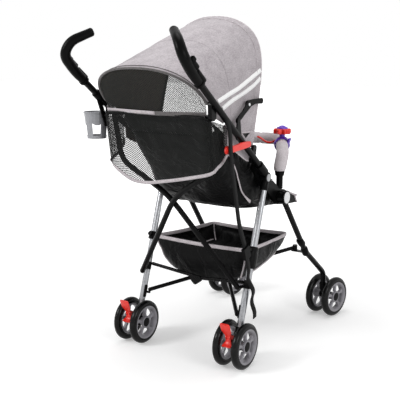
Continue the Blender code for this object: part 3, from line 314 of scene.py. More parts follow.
def knitted_net(name, colour, pitch_mm, cover):
    """Crossing threads; cover is a thread's share of the way to the next one."""
    made, tree, shader = start(name, 0.75, Specular_IOR_Level=0.12)
    flat = cloth_place(tree)
    threads = [ridges(tree, maths(tree, "MULTIPLY_ADD", flat["Y"], sign, flat["X"]),
                      1000.0 / pitch_mm) for sign in (1.0, -1.0)]
    near = maths(tree, "MINIMUM", *threads)
    tree.links.new(maths(tree, "LESS_THAN", near, cover), shader.inputs["Alpha"])
    two_tone(tree, shader, near, colour, "#2A2B2A", 0.0, cover)
    relief(tree, shader, near, 0.0005, 0.4)
    return made


SEAT_NET = knitted_net("black_knitted_net", "#141515", 3.0, 0.33)
WINDOW_NET = knitted_net("grey_knitted_net", "#353634", 2.8, 0.29)

# %% [markdown]
# ## Webbing and tape
# Webbing is woven across its width, so its ribs follow the strap: they use the strap's UV map, whose
# V runs along it in metres. The reflective tape on the canopy is white and even.

# %% Webbing and reflective tape


def webbing():
    """Ribbed black strap. Its ribs are 2 mm apart and are drawn at 4 mm."""
    made, tree, shader = start("black_polypropylene_webbing", 0.7, Specular_IOR_Level=0.12)
    rib = ridges(tree, cloth_place(tree)["Y"], 500.0)
    two_tone(tree, shader, rib, "#070707", "#141415", 0.0, 1.0)
    relief(tree, shader, rib, 0.0006, 0.6)
    return made


WEBBING = webbing()
TAPE = speckled("reflective_tape", "#F2F2F2", "#FBFBFB", 0.45, 0.0, 300.0, 2.0, 0.0002, 0.2,
                Sheen_Weight=0.2)
print("finishes in all", len(bpy.data.materials))

# %% [markdown]
# ## Give every CAD solid its finish
# Each solid's material slot is named in the record, so a table from slot to finish dresses the whole
# frame at once. A second table gives the slot of each finish that only the new pieces have. The
# soft solids are replaced further on.

# %% Finishes on the CAD solids
FINISHES = {
    "black_steel": POWDER_COAT, "silver_tube": ANODISED, "black_plastic": NYLON,
    "red_plastic": RED_ABS, "purple_plastic": PURPLE_ABS, "rim_plastic": RIM_PLASTIC,
    "cup_plastic": CUP_PLASTIC, "grip_rubber": GRIP_RUBBER, "tyre": EVA_SKIN,
    "canopy_fabric": MELANGE, "pad_fabric": MELANGE, "black_fabric": TAFFETA,
    "net_fabric": SEAT_NET, "webbing": WEBBING,
}
SLOT_OF = {finish.name: slot for slot, finish in FINISHES.items()}
SLOT_OF.update({
    MELANGE.name: "canopy_fabric", PIPING.name: "canopy_fabric", TAPE.name: "canopy_fabric",
    DARK_BINDING.name: "canopy_fabric", MELANGE_WITH_PAINTED_LIGHT.name: "pad_fabric",
    WINDOW_NET.name: "net_fabric", VIOLET_ABS.name: "purple_plastic", NICKEL.name: "silver_tube",
    PALE_CAP_AND_RIVET_GLINT.name: "silver_tube", DULL_CAP.name: "black_plastic",
})
for row in frame["record"]["subparts"]:
    for material_slot in frame["nodes"][row["node"]].material_slots:
        material_slot.material = FINISHES[row["material_slot"]]

# %% [markdown]
# ## From a bmesh to a piece
# Every new piece goes through one function. It cleans the mesh, moves it from the drawing's place to
# the model's, smooths it up to an angle, and hands it to the body that carries it. Where the piece
# stands in for a CAD solid, it takes that solid's place.

# %% Piece helpers


def piece(name, bm, material, body, node=None, slot=None, angle=35.0, turn_out=True):
    """Finish a bmesh as an object that rides on a body."""
    bmesh.ops.remove_doubles(bm, verts=bm.verts, dist=1e-6)
    if turn_out:
        bmesh.ops.recalc_face_normals(bm, faces=bm.faces)
    bmesh.ops.translate(bm, verts=bm.verts, vec=SHIFT)
    mesh = bpy.data.meshes.new(name)
    bm.to_mesh(mesh)
    bm.free()
    mesh.shade_smooth()
    mesh.set_sharp_from_angle(angle=math.radians(angle))
    mesh.materials.append(material)
    made = bpy.data.objects.new(name, mesh)
    bpy.context.collection.objects.link(made)
    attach(made, body)
    slot or SLOT_OF[material.name]
    if node:
        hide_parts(node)
    return made


def settle(obj):
    """Apply an object's modifiers to its mesh."""
    ready = obj.evaluated_get(bpy.context.evaluated_depsgraph_get())
    mesh = bpy.data.meshes.new_from_object(ready)
    obj.modifiers.clear()
    obj.data = mesh


def thicken(obj, thickness, back_material=0):
    """Give an open sheet a wall on its inner side."""
    wall = obj.modifiers.new("thickness", "SOLIDIFY")
    wall.thickness, wall.offset, wall.material_offset = thickness, -1.0, back_material
    settle(obj)


def fold_flat(*objs, keep=0.39):
    """Give each soft piece a mesh of its own."""
    for obj in objs:
        moved((-0.19, 0, 0))
        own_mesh(obj)


def face_away(bm, inside):
    """Turn the faces of an open sheet away from a point."""
    bm.normal_update()
    if sum(f.normal.dot(f.calc_center_median() - Vector(inside)) for f in bm.faces) < 0:
        bmesh.ops.reverse_faces(bm, faces=bm.faces)


# %% [markdown]
# ## Sweeping a section along a path
# Tubes, piping, grips and straps all carry a section along a path. Circles are made at the stations
# and bridged in pairs. Each station turns with the path by the smallest turn, so nothing twists.

# %% Loft


def rounded(points, radius, steps):
    """A path through some points, with each inner corner rounded."""
    points = [Vector(p) for p in points]
    path = [points[0]]
    for before, corner, after in zip(points, points[1:], points[2:]):
        reach = min(radius, (before - corner).length * 0.48, (after - corner).length * 0.48)
        a = corner + (before - corner).normalized() * reach
        b = corner + (after - corner).normalized() * reach
        for i in range(steps + 1):
            t = i / steps
            path.append(a * (1 - t) ** 2 + corner * 2 * t * (1 - t) + b * t * t)
    path.append(points[-1])
    return path


def length_of(path):
    """The length of a path."""
    return sum((b - a).length for a, b in zip(path, path[1:]))


def evened(path, step):
    """The same path with points a fixed step apart."""
    lengths = [0.0]
    for a, b in zip(path, path[1:]):
        lengths.append(lengths[-1] + (b - a).length)
    count = max(2, round(lengths[-1] / step))
    points, k = [], 0
    for i in range(count + 1):
        goal = lengths[-1] * i / count
        while k < len(lengths) - 2 and lengths[k + 1] < goal:
            k += 1
        span = max(1e-9, lengths[k + 1] - lengths[k])
        points.append(path[k].lerp(path[k + 1], min(1.0, (goal - lengths[k]) / span)))
    return points


def edges_of(verts):
    """All the edges at some vertices."""
    return list({edge for vert in verts for edge in vert.link_edges})


def bridge(bm, rings, loop=False):
    """Join rings of edges, each to the next, and the last to the first in a loop."""
    for low, high in list(zip(rings, rings[1:])) + ([(rings[-1], rings[0])] if loop else []):
        bmesh.ops.bridge_loops(bm, edges=low + high)
    return bm


def loft(path, sizes, sides, loop=False, across=None):
    """Sections along a path, closed at both ends.

    One size, or a list with one for each point, is a radius or a pair of half widths. The vector
    across says where the first of the two points.
    """
    bm, count = bmesh.new(), len(path)
    rings, turn = [], None
    for i, point in enumerate(path):
        ahead = path[(i + 1) % count] if loop else path[min(i + 1, count - 1)]
        behind = path[i - 1] if loop else path[max(i - 1, 0)]
        forward = (ahead - behind).normalized()
        if turn is None:
            turn = forward.to_track_quat("Z", "Y").to_matrix()
            if across:
                x = (across - forward * across.dot(forward)).normalized()
                turn = Matrix((x, forward.cross(x), forward)).transposed()
        else:
            turn = last.rotation_difference(forward).to_matrix() @ turn
        last = forward
        size = sizes[i] if isinstance(sizes, list) else sizes
        a, b = size if isinstance(size, tuple) else (size, size)
        place = Matrix.Translation(point) @ turn.to_4x4() @ Matrix.Diagonal((a, b, 1, 1))
        end = not loop and i in (0, count - 1)
        made = bmesh.ops.create_circle(bm, segments=sides, radius=1.0, cap_ends=end, matrix=place)
        rings.append(edges_of(made["verts"]))
    return bridge(bm, rings, loop)


def tube(name, path, sizes, material, body, sides=10, loop=False, across=None, **more):
    """A cord, bar, sleeve or band along a path."""
    return piece(name, loft(path, sizes, sides, loop, across), material, body, **more)


# %% [markdown]
# ## Turning and sheets
# A wheel, cap or rivet is a profile spun round an axis. A sheet starts as a flat grid, whose
# points are then moved onto a shape given by two shares, u and v. A size in metres can be given to
# its UV map, for a pattern that has to keep its scale.

# %% Spin and sheet


def turned(profile, centre, axis, steps, bm=None):
    """Spin a profile of (along, radius) points once round an axis through the centre."""
    bm = bmesh.new() if bm is None else bm
    axis = Vector(axis).normalized()
    arm = axis.orthogonal().normalized()
    verts = [bm.verts.new(Vector(centre) + axis * along + arm * radius) for along, radius in profile]
    edges = [bm.edges.new(pair) for pair in zip(verts, verts[1:])]
    bmesh.ops.spin(bm, geom=verts + edges, cent=centre, axis=axis, angle=2 * math.pi, steps=steps,
                   use_merge=True)
    return bm


def through(stops, place):
    """A smooth curve through some rows of numbers, at a place from 0 to the last row."""
    k = max(0, min(int(place), len(stops) - 2))
    t = place - k
    before, a = stops[max(k - 1, 0)], stops[k]
    b, after = stops[k + 1], stops[min(k + 2, len(stops) - 1)]
    return [
        0.5 * (2 * q + (r - p) * t + (2 * p - 5 * q + 4 * r - s) * t * t
               + (3 * q - p - 3 * r + s) * t ** 3)
        for p, q, r, s in zip(before, a, b, after)
    ]


def skin(name, columns, rows, shape, inside, material, body, thickness, back=None,
         size=(1.0, 1.0), node=None, slot=None):
    """A thin sheet over shape(u, v) that faces away from the point inside."""
    bm = bmesh.new()
    bm.loops.layers.uv.new("UVMap")
    bmesh.ops.create_grid(bm, x_segments=columns, y_segments=rows, size=0.5, calc_uvs=True)
    uv = bm.loops.layers.uv.active
    for face in bm.faces:
        for corner in face.loops:
            u, v = corner.vert.co.x + 0.5, corner.vert.co.y + 0.5
            corner[uv].uv = (u * size[0], v * size[1])
    for vert in bm.verts:
        vert.co = shape(vert.co.x + 0.5, vert.co.y + 0.5)
    face_away(bm, inside)
    made = piece(name, bm, material, body, slot=slot, turn_out=False)
    if back:
        made.data.materials.append(back)
    thicken(made, thickness, 1 if back else 0)
    if node:
        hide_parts(node)
    return made


# %% [markdown]
# ## The canopy
# The hood is one curved sheet from the rear hoop, over the child's head, to the front bow. Here it is
# two sheets with one shape, because the front one swings with the bow. A hoop is a squarish half
# ellipse between its two feet, and the sheet blends the rear hoop into the front one.

# %% The hood's surface
CANOPY_REAR, REAR_APEX = Vector((0.190, 0.466, 0.846)), Vector((0, 0.565, 0.948))
CANOPY_PIVOT, FRONT_APEX = Vector((0.190, 0.205, 0.695)), Vector((0, 0.135, 1.108))
HOOP_POWERS = (0.85, 0.74)      # below 1 a hoop is squarer than an ellipse
FRONT_WIDENING, FRONT_LEAN, BULGE = 0.33, 0.026, 0.014
CLOTH_INSET, CLOTH_SLACK, TOP_DRAWN = 0.0006, 0.0018, 0.0105
HOOD_INSIDE = Vector((0, 0.33, 0.80))
CLOTH_WALL = 0.0014
MIDDLE = 0.5                    # the part where the two sheets meet
GORES = (("rear", 0.0, MIDDLE, "handle_right"), ("front", MIDDLE, 1.0, "canopy"))
# Where each sheet runs past its start and end, and how far the front one is lifted off the rear one.
LAPS = {"rear": (0.0, 0.004, 0.0), "front": (-0.001, 0.0, 0.0004)}


def ripple(point, size, depth, seed):
    """A soft uneven height of the given depth, with waves of the given size."""
    spot = Vector(point) / size + Vector((seed, 0, 0))
    return (noise.noise(spot) + 0.5 * noise.noise(spot * 2.1)) * depth


def hoop_point(part, turn, shrink):
    """A point of the hood.

    Part runs from the rear hoop to the front one, and turn from the left foot to the right one.
    """
    foot = CANOPY_REAR.lerp(CANOPY_PIVOT, part)
    apex = REAR_APEX.lerp(FRONT_APEX, part)
    power = HOOP_POWERS[0] + (HOOP_POWERS[1] - HOOP_POWERS[0]) * part
    across = math.copysign(abs(math.cos(turn)) ** power, math.cos(turn))
    widening = FRONT_WIDENING * part * math.sin(turn) ** 2 * abs(across)
    up = Vector((0, apex.y - foot.y, apex.z - foot.z))
    up *= (up.length + math.sin(math.pi * part) * BULGE - shrink) / up.length
    lean = abs(math.sin(2 * turn))
    if abs(turn - math.pi / 2) < math.pi / 4:
        lean **= 2
    x, y = across * (foot.x - shrink) * (1 + widening), foot.y - FRONT_LEAN * part ** 2 * lean
    return Vector((x, y, foot.z)) + up * abs(math.sin(turn)) ** power


def off_hood(point):
    """The way out of the hood at a point."""
    return (point - HOOD_INSIDE).normalized()


def hood_cloth(part, turn):
    """The cloth, drawn nearly straight over the top and a little slack between the hoops."""
    point = hoop_point(part, turn, CLOTH_INSET)
    slack = math.sin(math.pi * part) * math.sin(turn)
    drawn = TOP_DRAWN * max(0.0, math.sin(turn)) ** 3
    return point - off_hood(point) * (CLOTH_SLACK + drawn + ripple(point, 0.085, 0.0026, 3.0)) * slack


def gore_shape(low, high, lift):
    def shape(u, v):
        point = hood_cloth(low + (high - low) * v, math.pi * u)
        return point + off_hood(point) * lift
    return shape


hood = []
for part_name, low, high, body in GORES:
    before, after, lift = LAPS[part_name]
    hood.append(skin(f"hood_{part_name}", 88, 26, gore_shape(low + before, high + after, lift),
                     HOOD_INSIDE, MELANGE, body, CLOTH_WALL, LINING, node=f"canopy_{part_name}"))
fold_flat(*hood)
print("hood faces", [len(s.data.polygons) for s in hood])

# %% [markdown]
# ## Binding, piping and stripes
# The hood's edges are bound with a folded tape that stands a little proud, dark round the window and
# grey at the front, where a second row of stitching runs inside it. Two reflective stripes cross each
# side. Each is a narrow ribbon laid on the hood along a line of points measured in part and turn.

# %% Hood trim
STRIPES = {
    "upper": ((0.282, 2.970), (0.388, 2.908), (0.491, 2.858), (0.649, 2.795), (0.825, 2.710),
              (0.985, 2.634)),
    "lower": ((0.348, 3.035), (0.462, 2.962), (0.558, 2.910), (0.751, 2.832), (0.891, 2.770),
              (0.985, 2.712)),
}
STRIPE_WIDTH, STRIPE_LIFT, STRIPE_STEPS = 0.0132, 0.0024, 40
HALF_TURN = [math.pi * i / 60 for i in range(61)]


def between(low, high, share):
    """The mean of two rows of numbers, by a share of the second."""
    return [a + (b - a) * share for a, b in zip(low, high)]


def ribbon(name, path, width, material, body, out, thickness=0.0007, slot=None):
    """A flat band along a path, wide across the path and facing the direction out(point)."""
    def shape(u, v):
        place = v * (len(path) - 1)
        k = min(int(place), len(path) - 2)
        point = path[k].lerp(path[k + 1], place - k)
        ahead = path[min(k + 2, len(path) - 1)] - path[max(k - 1, 0)]
        return point + ahead.cross(out(point)).normalized() * (u - 0.5) * width
    inside = sum(path, Vector()) / len(path) - sum((out(p) for p in path), Vector()).normalized()
    return skin(name, 2, 2 * len(path), shape, inside, material, body, thickness,
                size=(width, length_of(path)), slot=slot)


def hood_line(stops):
    """Points a little off the hood, along a line of (part, turn) stops."""
    points = []
    for i in range(STRIPE_STEPS + 1):
        place = i / STRIPE_STEPS * (len(stops) - 1)
        k = min(int(place), len(stops) - 2)
        point = hood_cloth(*between(stops[k], stops[k + 1], place - k))
        points.append(point + off_hood(point) * STRIPE_LIFT)
    return points


trim = [
    tube(name, [hoop_point(part, t, inset) for t in HALF_TURN], radius, material, body, sides)
    for name, part, inset, radius, material, body, sides in (
        ("window_binding", 0.0, 0.0008, 0.0036, DARK_BINDING, "handle_right", 10),
        ("window_stitching", 0.035, -0.0004, 0.0011, DARK_BINDING, "handle_right", 6),
        ("hood_edge_binding", 0.995, 0.0010, 0.0028, PIPING, "canopy", 10),
        ("hood_edge_stitching", 0.935, -0.0001, 0.0009, PIPING, "canopy", 6),
    )
]
for stripe, stops in STRIPES.items():
    before = [s for s in stops if s[0] <= MIDDLE][-1]
    after = [s for s in stops if s[0] > MIDDLE][0]
    crossing = between(before, after, (MIDDLE - before[0]) / (after[0] - before[0]))
    for side_name, side in SIDES:
        for part_name, low, high, body in GORES:
            inner = [s for s in stops if low < s[0] < high]
            line = inner + [crossing] if part_name == "rear" else [crossing] + inner
            if side > 0:
                line = [(p, math.pi - t) for p, t in line]
            trim.append(ribbon(f"stripe_{stripe}_{side_name}_{part_name}", hood_line(line),
                               STRIPE_WIDTH, TAPE, body, off_hood))
fold_flat(*trim)
print("hood trim pieces", len(trim))

# %% [markdown]
# ## The hood's bow
# A thin rod follows the front hoop just inside the cloth, between the two pivots. It uses the
# hood's own formula, so the rod and the cloth's edge can't part.

# %% Hood bow
bow = tube("hood_bow_rod", [hoop_point(0.985, t, 0.0065) for t in HALF_TURN], 0.0045, NYLON, "canopy",
           node="canopy_bow")
fold_flat(bow)
print("bow", round(length_of([hoop_point(0.985, t, 0.0065) for t in HALF_TURN]), 3), "m")

# %% [markdown]
# ## The hood's lower edge
# Below the handles the hood ends in a loose skirt of the same cloth, with a small side opening that
# is edged with binding. The opening's dark inside is painted shade: a patch of black taffeta laid on
# the cloth. The skirt hangs just inside the handle tube, outside the seat's wing. Two lines of points
# give its top and its hem, which is simpler to steer than a cloth simulation.

# %% Skirt and side opening
SKIRT_X = 0.1865
SKIRT_TOP = ((0.374, 0.776), (0.352, 0.782), (0.320, 0.764), (0.285, 0.744), (0.248, 0.722),
             (0.218, 0.704))
SKIRT_LOW = ((0.371, 0.722), (0.350, 0.712), (0.312, 0.697), (0.275, 0.677), (0.237, 0.658),
             (0.203, 0.654))
OPENING = ((0.715, 0.012), (0.945, 0.052), (0.830, 0.002))      # corners as (part, turn)
OPENING_SHADE_LIFT, EDGE_LIFT = 0.0012, 0.0018
REAR_TAB = ((0.455, 0.832), (0.437, 0.818), (0.414, 0.806), (0.392, 0.797), (0.378, 0.790))


def skirt_shape(side):
    def shape(u, v):
        y, z = between(through(SKIRT_TOP, u * 5), through(SKIRT_LOW, u * 5), v)
        fold = 0.002 * math.sin(math.pi * v) * math.sin(14 * u + 2)
        return Vector((side * (SKIRT_X + 0.002 * v + fold), y, z))
    return shape


def opening_shape(side, lift):
    """A small three-cornered patch on the cloth, near the hood's front foot."""
    def shape(u, v):
        part, turn = between(between(OPENING[0], OPENING[1], u), OPENING[2], v)
        turn = max(0.0005, turn)
        return hood_cloth(part, turn if side > 0 else math.pi - turn) + X * side * lift
    return shape


openings = []
for side_name, side in SIDES:
    handle = f"handle_{side_name}"
    drape, ring = skirt_shape(side), opening_shape(side, EDGE_LIFT)
    skirt = skin(f"hood_skirt_{side_name}", 30, 12, drape, (0, 0.29, 0.72), MELANGE, handle,
                 CLOTH_WALL, LINING)
    tube(f"hood_skirt_hem_{side_name}", [drape(i / 24, 1.0) for i in range(25)], 0.0020, PIPING,
         handle, 8)
    # The black patch is painted shade: it stands in for the dark inside seen through the opening.
    openings.append(skin(f"side_opening_{side_name}", 12, 8, opening_shape(side, OPENING_SHADE_LIFT),
                         (0, 0.25, 0.80), TAFFETA, "canopy", 0.0006))
    edge = [ring(i / 10, 0.0) for i in range(11)] + [ring(1.0, i / 8) for i in range(1, 8)]
    edge += [ring(0.0, 1 - i / 8) for i in range(8)]
    openings.append(tube(f"side_opening_edge_{side_name}", edge, 0.0026, PIPING, "canopy", 8, True))
    tab = evened([Vector((side * 0.1925, y, z)) for y, z in REAR_TAB], 0.006)
    ribbon(f"hood_rear_tab_{side_name}", tab, 0.014, PIPING, handle,
           lambda p: Vector((math.copysign(1, p.x), 0.1, 0)), 0.0014)
fold_flat(*openings)
print("skirts and openings", 2 * len(SIDES))

# %% [markdown]
# ## The window net
# The opening inside the rear hoop is closed by net, laced to the hoop above and held by a straight
# hem below. It is a sheet between the hoop and that chord, so its outline is the hoop's own.

# %% Window net
CHORD_Y, CHORD_Z, CHORD_DROP = 0.458, 0.819, 0.004


def window_shape(u, v):
    high = hoop_point(0.0, math.pi * u, 0.0045)
    low = Vector((high.x, CHORD_Y, CHORD_Z - CHORD_DROP * (1 - abs(high.x) / CANOPY_REAR.x)))
    point = high.lerp(low, v)
    belly = math.sin(math.pi * v) * math.sin(math.pi * u)
    return point + Vector((0, 0.6, -0.6)) * (0.003 + ripple(point, 0.06, 0.0012, 8.0)) * belly


def hem_out(point):
    """The window's hem faces back and a little down all along."""
    return Vector((0, 1, -0.3))


window = skin("window_net", 60, 12, window_shape, (0, 0.38, 0.97), WINDOW_NET, "handle_right",
              0.0008, size=(0.46, 0.15), node="rear_window")
hem_shares = [0.5 + 0.5 * math.sin(math.pi * (i / 40 - 0.5)) for i in range(41)]
hem_line = [window_shape(u, 1.0) + Vector((0, 0.004, -0.003)) for u in hem_shares]
tape_line = [p + Vector((0, 0.0018, 0.001)) for p in hem_line if p.x > -0.03]
fold_flat(
    window,
    ribbon("window_hem", hem_line, 0.013, DARK_BINDING, "handle_right", hem_out, 0.0012),
    ribbon("window_tape", tape_line, 0.011, PIPING, "handle_right", hem_out, 0.0008),
)
print("window hem", round(length_of(hem_line), 3), "m")

# %% [markdown]
# ## The net behind the seat
# A wide net wraps from one handle, round behind the seat, to the other. Its hem is a bound U that
# rises at both ends. The columns give where it hangs, its top and its hem, and a smooth curve through
# them gives the sheet. A band of net joins each of its side edges to the handle.

# %% Rear net
NET_STOPS = (        # x, y, top and hem
    (0.1965, 0.4650, 0.802, 0.653), (0.190, 0.4690, 0.806, 0.646), (0.175, 0.4745, 0.810, 0.635),
    (0.120, 0.4655, 0.812, 0.597), (0.060, 0.4625, 0.811, 0.591), (0.000, 0.4605, 0.810, 0.600),
    (-0.060, 0.4625, 0.810, 0.611), (-0.120, 0.4655, 0.811, 0.624), (-0.175, 0.4745, 0.810, 0.637),
    (-0.190, 0.4690, 0.805, 0.643), (-0.1965, 0.4650, 0.800, 0.647),
)
NET_LEAN, NET_HANG = 0.15, 0.824        # how far the net leans forward below its hanging height
BAND_HEM, BAND_FRONT, BAND_X = ((0.000,), (0.010,), (0.017,), (0.028,), (0.046,)), 0.369, 0.1965


def net_shape(u, v):
    x, y, top, hem = through(NET_STOPS, u * (len(NET_STOPS) - 1))
    z = top + (hem - top) * v
    point = Vector((x, y - NET_LEAN * (NET_HANG - z), z))
    slack = math.sin(math.pi * v) * math.sin(math.pi * u)
    return point + Y * (ripple(point, 0.09, 0.004, 5.0) - 0.002) * slack


def band_shape(side):
    """The band from the net's side edge forward to the handle."""
    corner = NET_STOPS[0] if side > 0 else NET_STOPS[-1]

    def shape(u, v):
        top = corner[2] - 0.024 * u
        z = top + (corner[3] + through(BAND_HEM, u * 4)[0] - top) * v
        y = (corner[1] - NET_LEAN * (NET_HANG - z)) * (1 - u) + BAND_FRONT * u
        fold = 0.002 * math.sin(z * 150 + 40 * u) + ripple((0, y, z), 0.03, 0.003, 6.0)
        fold *= math.sin(math.pi * u) * math.sin(math.pi * v)
        return Vector((side * (BAND_X + 0.0025 * u + fold), y, z))
    return shape


def net_out(point):
    """The way that the net's hem faces, which turns from the back to the side at the corners."""
    turn = min(1.0, max(0.0, (abs(point.x) - 0.160) / 0.036))
    return Vector((math.copysign(turn, point.x), 1.0 - turn * 0.98, 0))


net = skin("seat_net", 90, 24, net_shape, (0, 0.30, 0.70), SEAT_NET, "handle_right", 0.0009,
           size=(0.42, 0.21), node="rear_net")
bands = []
for side_name, side in SIDES:
    band = skin(f"net_side_band_{side_name}", 16, 30, band_shape(side), (0, 0.40, 0.72), SEAT_NET,
                "handle_right", 0.0012, node="rear_net")
    bands.append(band)
near_side, far_side = band_shape(-1), band_shape(1)
hem_path = [far_side(1, 0.75), far_side(1, 0.88)] + [far_side(1 - i / 6, 1.0) for i in range(6)]
hem_path += [net_shape(i / 70, 1.0) for i in range(71)]
hem_path += [near_side((i + 1) / 6, 1.0) for i in range(6)]
hem_path += [near_side(1, 0.88), near_side(1, 0.75)]
net_hem = ribbon("seat_net_hem", [p + net_out(p) * 0.0016 for p in hem_path], 0.0105, PIPING,
                 "handle_right", net_out, 0.0022)
net_top = ribbon("seat_net_top", [net_shape(i / 60, 0.02) for i in range(61)], 0.010, TAFFETA,
                 "handle_right", net_out, 0.0022, "canopy_fabric")
fold_flat(net, net_hem, net_top, *bands)
print("net hem", round(length_of(hem_path), 3), "m")

# %% [markdown]
# ## The seat
# Cushion and back are thin pads of wadding sewn between two layers of taffeta. Cloth under a little
# inner pressure gives a pad its crown and its drawn-in edges, so each one starts as a slim box, is
# remeshed evenly, and is blown up by Cloth. Sewn channels are pressed in after that.

# %% Inflating a pad
SEAT_HALF, PAD_THICKNESS, PUFF = 0.166, 0.017, 0.006
SEAT_FRONT, SEAT_REAR = Vector((0.0, -0.165, 0.470)), Vector((0.0, 0.165, 0.482))
SEAT_TOP = Vector((0.0, 0.437, 0.815))
BACK_START, CUSHION_END = SEAT_REAR + Vector((0, 0.012, 0.020)), SEAT_REAR - Vector((0, 0.014, 0))
BEVEL = {"affect": "EDGES", "profile": 0.5, "material": -1}


def upward(line):
    """The upward normal of a line that runs back in the side view."""
    return Vector((0, -line.z, line.y))


def slab(start, end, half, thickness, inset=0.004, corner=0.034):
    """A rounded flat box between two lines, with round corners in plan."""
    bm, line = bmesh.new(), (end - start).normalized()
    normal = upward(line)
    place = Matrix((X, line, normal)).transposed().to_4x4()
    size = Matrix.Diagonal((2 * (half - inset), (end - start).length - 2 * inset, thickness, 1))
    bmesh.ops.create_cube(bm, size=1.0, matrix=Matrix.Translation((start + end) / 2) @ place @ size)

    def slope(edge):
        return abs((edge.verts[0].co - edge.verts[1].co).normalized().dot(normal))

    upright = [e for e in bm.edges if slope(e) > 0.9]
    bmesh.ops.bevel(bm, geom=upright, offset=corner, segments=6, **BEVEL)
    around = [e for e in bm.edges if slope(e) < 0.5]
    bmesh.ops.bevel(bm, geom=around, offset=thickness * 0.3, segments=3, **BEVEL)
    return bm


def inflate(obj, cap, pressure=4.0, voxel=0.006, frames=16):
    """Blow a closed piece up with Cloth, and stop each point at the cap."""
    remesh = obj.modifiers.new("remesh", "REMESH")
    remesh.mode, remesh.voxel_size = "VOXEL", voxel
    settle(obj)
    rest = [v.co.copy() for v in obj.data.vertices]
    cloth = obj.modifiers.new("cloth", "CLOTH")
    cloth.settings.quality = 5
    cloth.settings.mass = 0.2
    cloth.settings.use_pressure = True
    cloth.settings.uniform_pressure_force = pressure
    cloth.settings.effector_weights.gravity = 0.0
    scene = bpy.context.scene
    for step in range(1, frames + 1):
        scene.frame_set(step)
    settle(obj)
    scene.frame_set(1)
    for vert, start_point in zip(obj.data.vertices, rest):
        travel = vert.co - start_point
        if travel.length > cap:
            vert.co = start_point + travel.normalized() * cap


def channels(obj, start, end, places, depth=0.0035, width=0.006):
    """Press sewn lines across a pad, at shares of its length."""
    begin, line = moved(start), (end - start).normalized()
    normal, stops = upward(line), [(end - start).length * p for p in places]
    for vert in obj.data.vertices:
        along, high = (vert.co - begin).dot(line), (vert.co - begin).dot(normal)
        press = sum(math.exp(-((along - stop) / width) ** 2) for stop in stops)
        vert.co -= normal * math.copysign(min(depth * press, abs(high) * 0.8), high)


def hammock(obj):
    """Hang the cushion between its two sides: its edges rise, most of all at the back."""
    for vert in obj.data.vertices:
        back = min(1.0, max(0.0, (vert.co.y - moved((0, -0.13, 0)).y) / 0.28))
        out = min(1.0, abs(vert.co.x - SHIFT.x) / SEAT_HALF)
        vert.co.z += 0.006 * back ** 2 + 0.016 * back * out ** 3


for name, low, high, body, node, seams in (
        ("cushion_pad", SEAT_FRONT, CUSHION_END, "handle_right", "seat_cushion", (0.25, 0.5, 0.75)),
        ("back_pad", BACK_START, SEAT_TOP, "seat_back", "seat_back", (0.2, 0.4, 0.6, 0.8))):
    pad = piece(name, slab(low, high, SEAT_HALF, PAD_THICKNESS), TAFFETA, body)
    inflate(pad, PUFF)
    channels(pad, low, high, seams)
    if name == "cushion_pad":
        hammock(pad)
    soft = pad.modifiers.new("soft", "SUBSURF")
    soft.levels = soft.render_levels = 1
    settle(pad)
    pad.data.shade_smooth()
    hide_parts(node)
    fold_flat(pad)
    print(name, len(pad.data.polygons), "faces")

# %% [markdown]
# ## The loose cover behind the seat
# Behind the reclined back hangs a loose cover of the same taffeta. It bellies out, falls in slanting
# folds and is tucked under the cushion, so the seat's outline from behind is soft and wavy. The
# cushion's front lip is a piped roll.

# %% Back cover and front lip
BACK_LINE = (SEAT_TOP - BACK_START).normalized()
COVER_STOPS = (        # along the back from its foot, and off it
    (0.330, 0.0165), (0.270, 0.030), (0.200, 0.038), (0.130, 0.040), (0.070, 0.034),
    (0.020, 0.024), (-0.012, 0.010),
)
ROLL_Y, ROLL_Z, ROLL_HALF, ROLL_RADIUS = -0.1770, 0.4690, 0.163, 0.0125


def cover_shape(u, v):
    along, off = through(COVER_STOPS, v * (len(COVER_STOPS) - 1))
    x = (2 * u - 1) * (SEAT_HALF + 0.001)
    edge = abs(2 * u - 1) ** 9
    belly = max(0.0, math.sin(math.pi * min(1.0, v * 0.98))) * (1 - edge)
    fold = 0.0045 * math.sin(26 * (x * 1.3 + along) + 1.2)
    fold += ripple((x, along, 0), 0.05, 0.006, 14.0)
    off = off * (1 - edge) - 0.0150 * edge + fold * belly
    tuck = max(0.0, v - 0.86) / 0.14
    along += 0.010 * edge * tuck + 0.006 * math.sin(30 * x) * tuck * (1 - edge)
    return BACK_START + BACK_LINE * along - upward(BACK_LINE) * off + Vector((x, -0.012 * tuck, 0))


cover = skin("seat_back_cover", 72, 40, cover_shape, (0, 0.20, 0.75), TAFFETA, "seat_back", 0.0012)
roll = [Vector((x, ROLL_Y + 0.020 * (abs(x) / SEAT_HALF) ** 6, ROLL_Z))
        for x in [ROLL_HALF * (i / 16 - 1) for i in range(33)]]
roll_sizes = [ROLL_RADIUS * min(1, 0.5 + 0.25 * min(i, 32 - i)) for i in range(33)]
fold_flat(
    cover,
    tube("cushion_front_roll", roll, roll_sizes, TAFFETA, "handle_right", 14),
    tube("cushion_front_piping", [p + Vector((0, -0.0085, 0.0125)) for p in roll], 0.0044, PIPING,
         "handle_right"),
)
print("cover faces", len(cover.data.polygons))

# %% [markdown]
# ## The seat's side wings
# Each side of the seat is a loose wing of taffeta, sewn to the cushion below and hung from the handle
# tube above. It is a sheet between a lower and an upper line, and it creases where it hangs. Cloth
# could drape it, but the two sewn lines set nearly all of its shape, so a formula is enough.

# %% Side wings
HINGE, HANDLE_END = Vector((0.205, 0.020, 0.508)), Vector((0.213, 0.535, 0.906))
HANDLE_LINE = (HANDLE_END - HINGE).normalized()


def handle_at(distance, side=1):
    """A point on the handle's line, at a distance from the hinge."""
    return side_of(HINGE + HANDLE_LINE * distance, side)


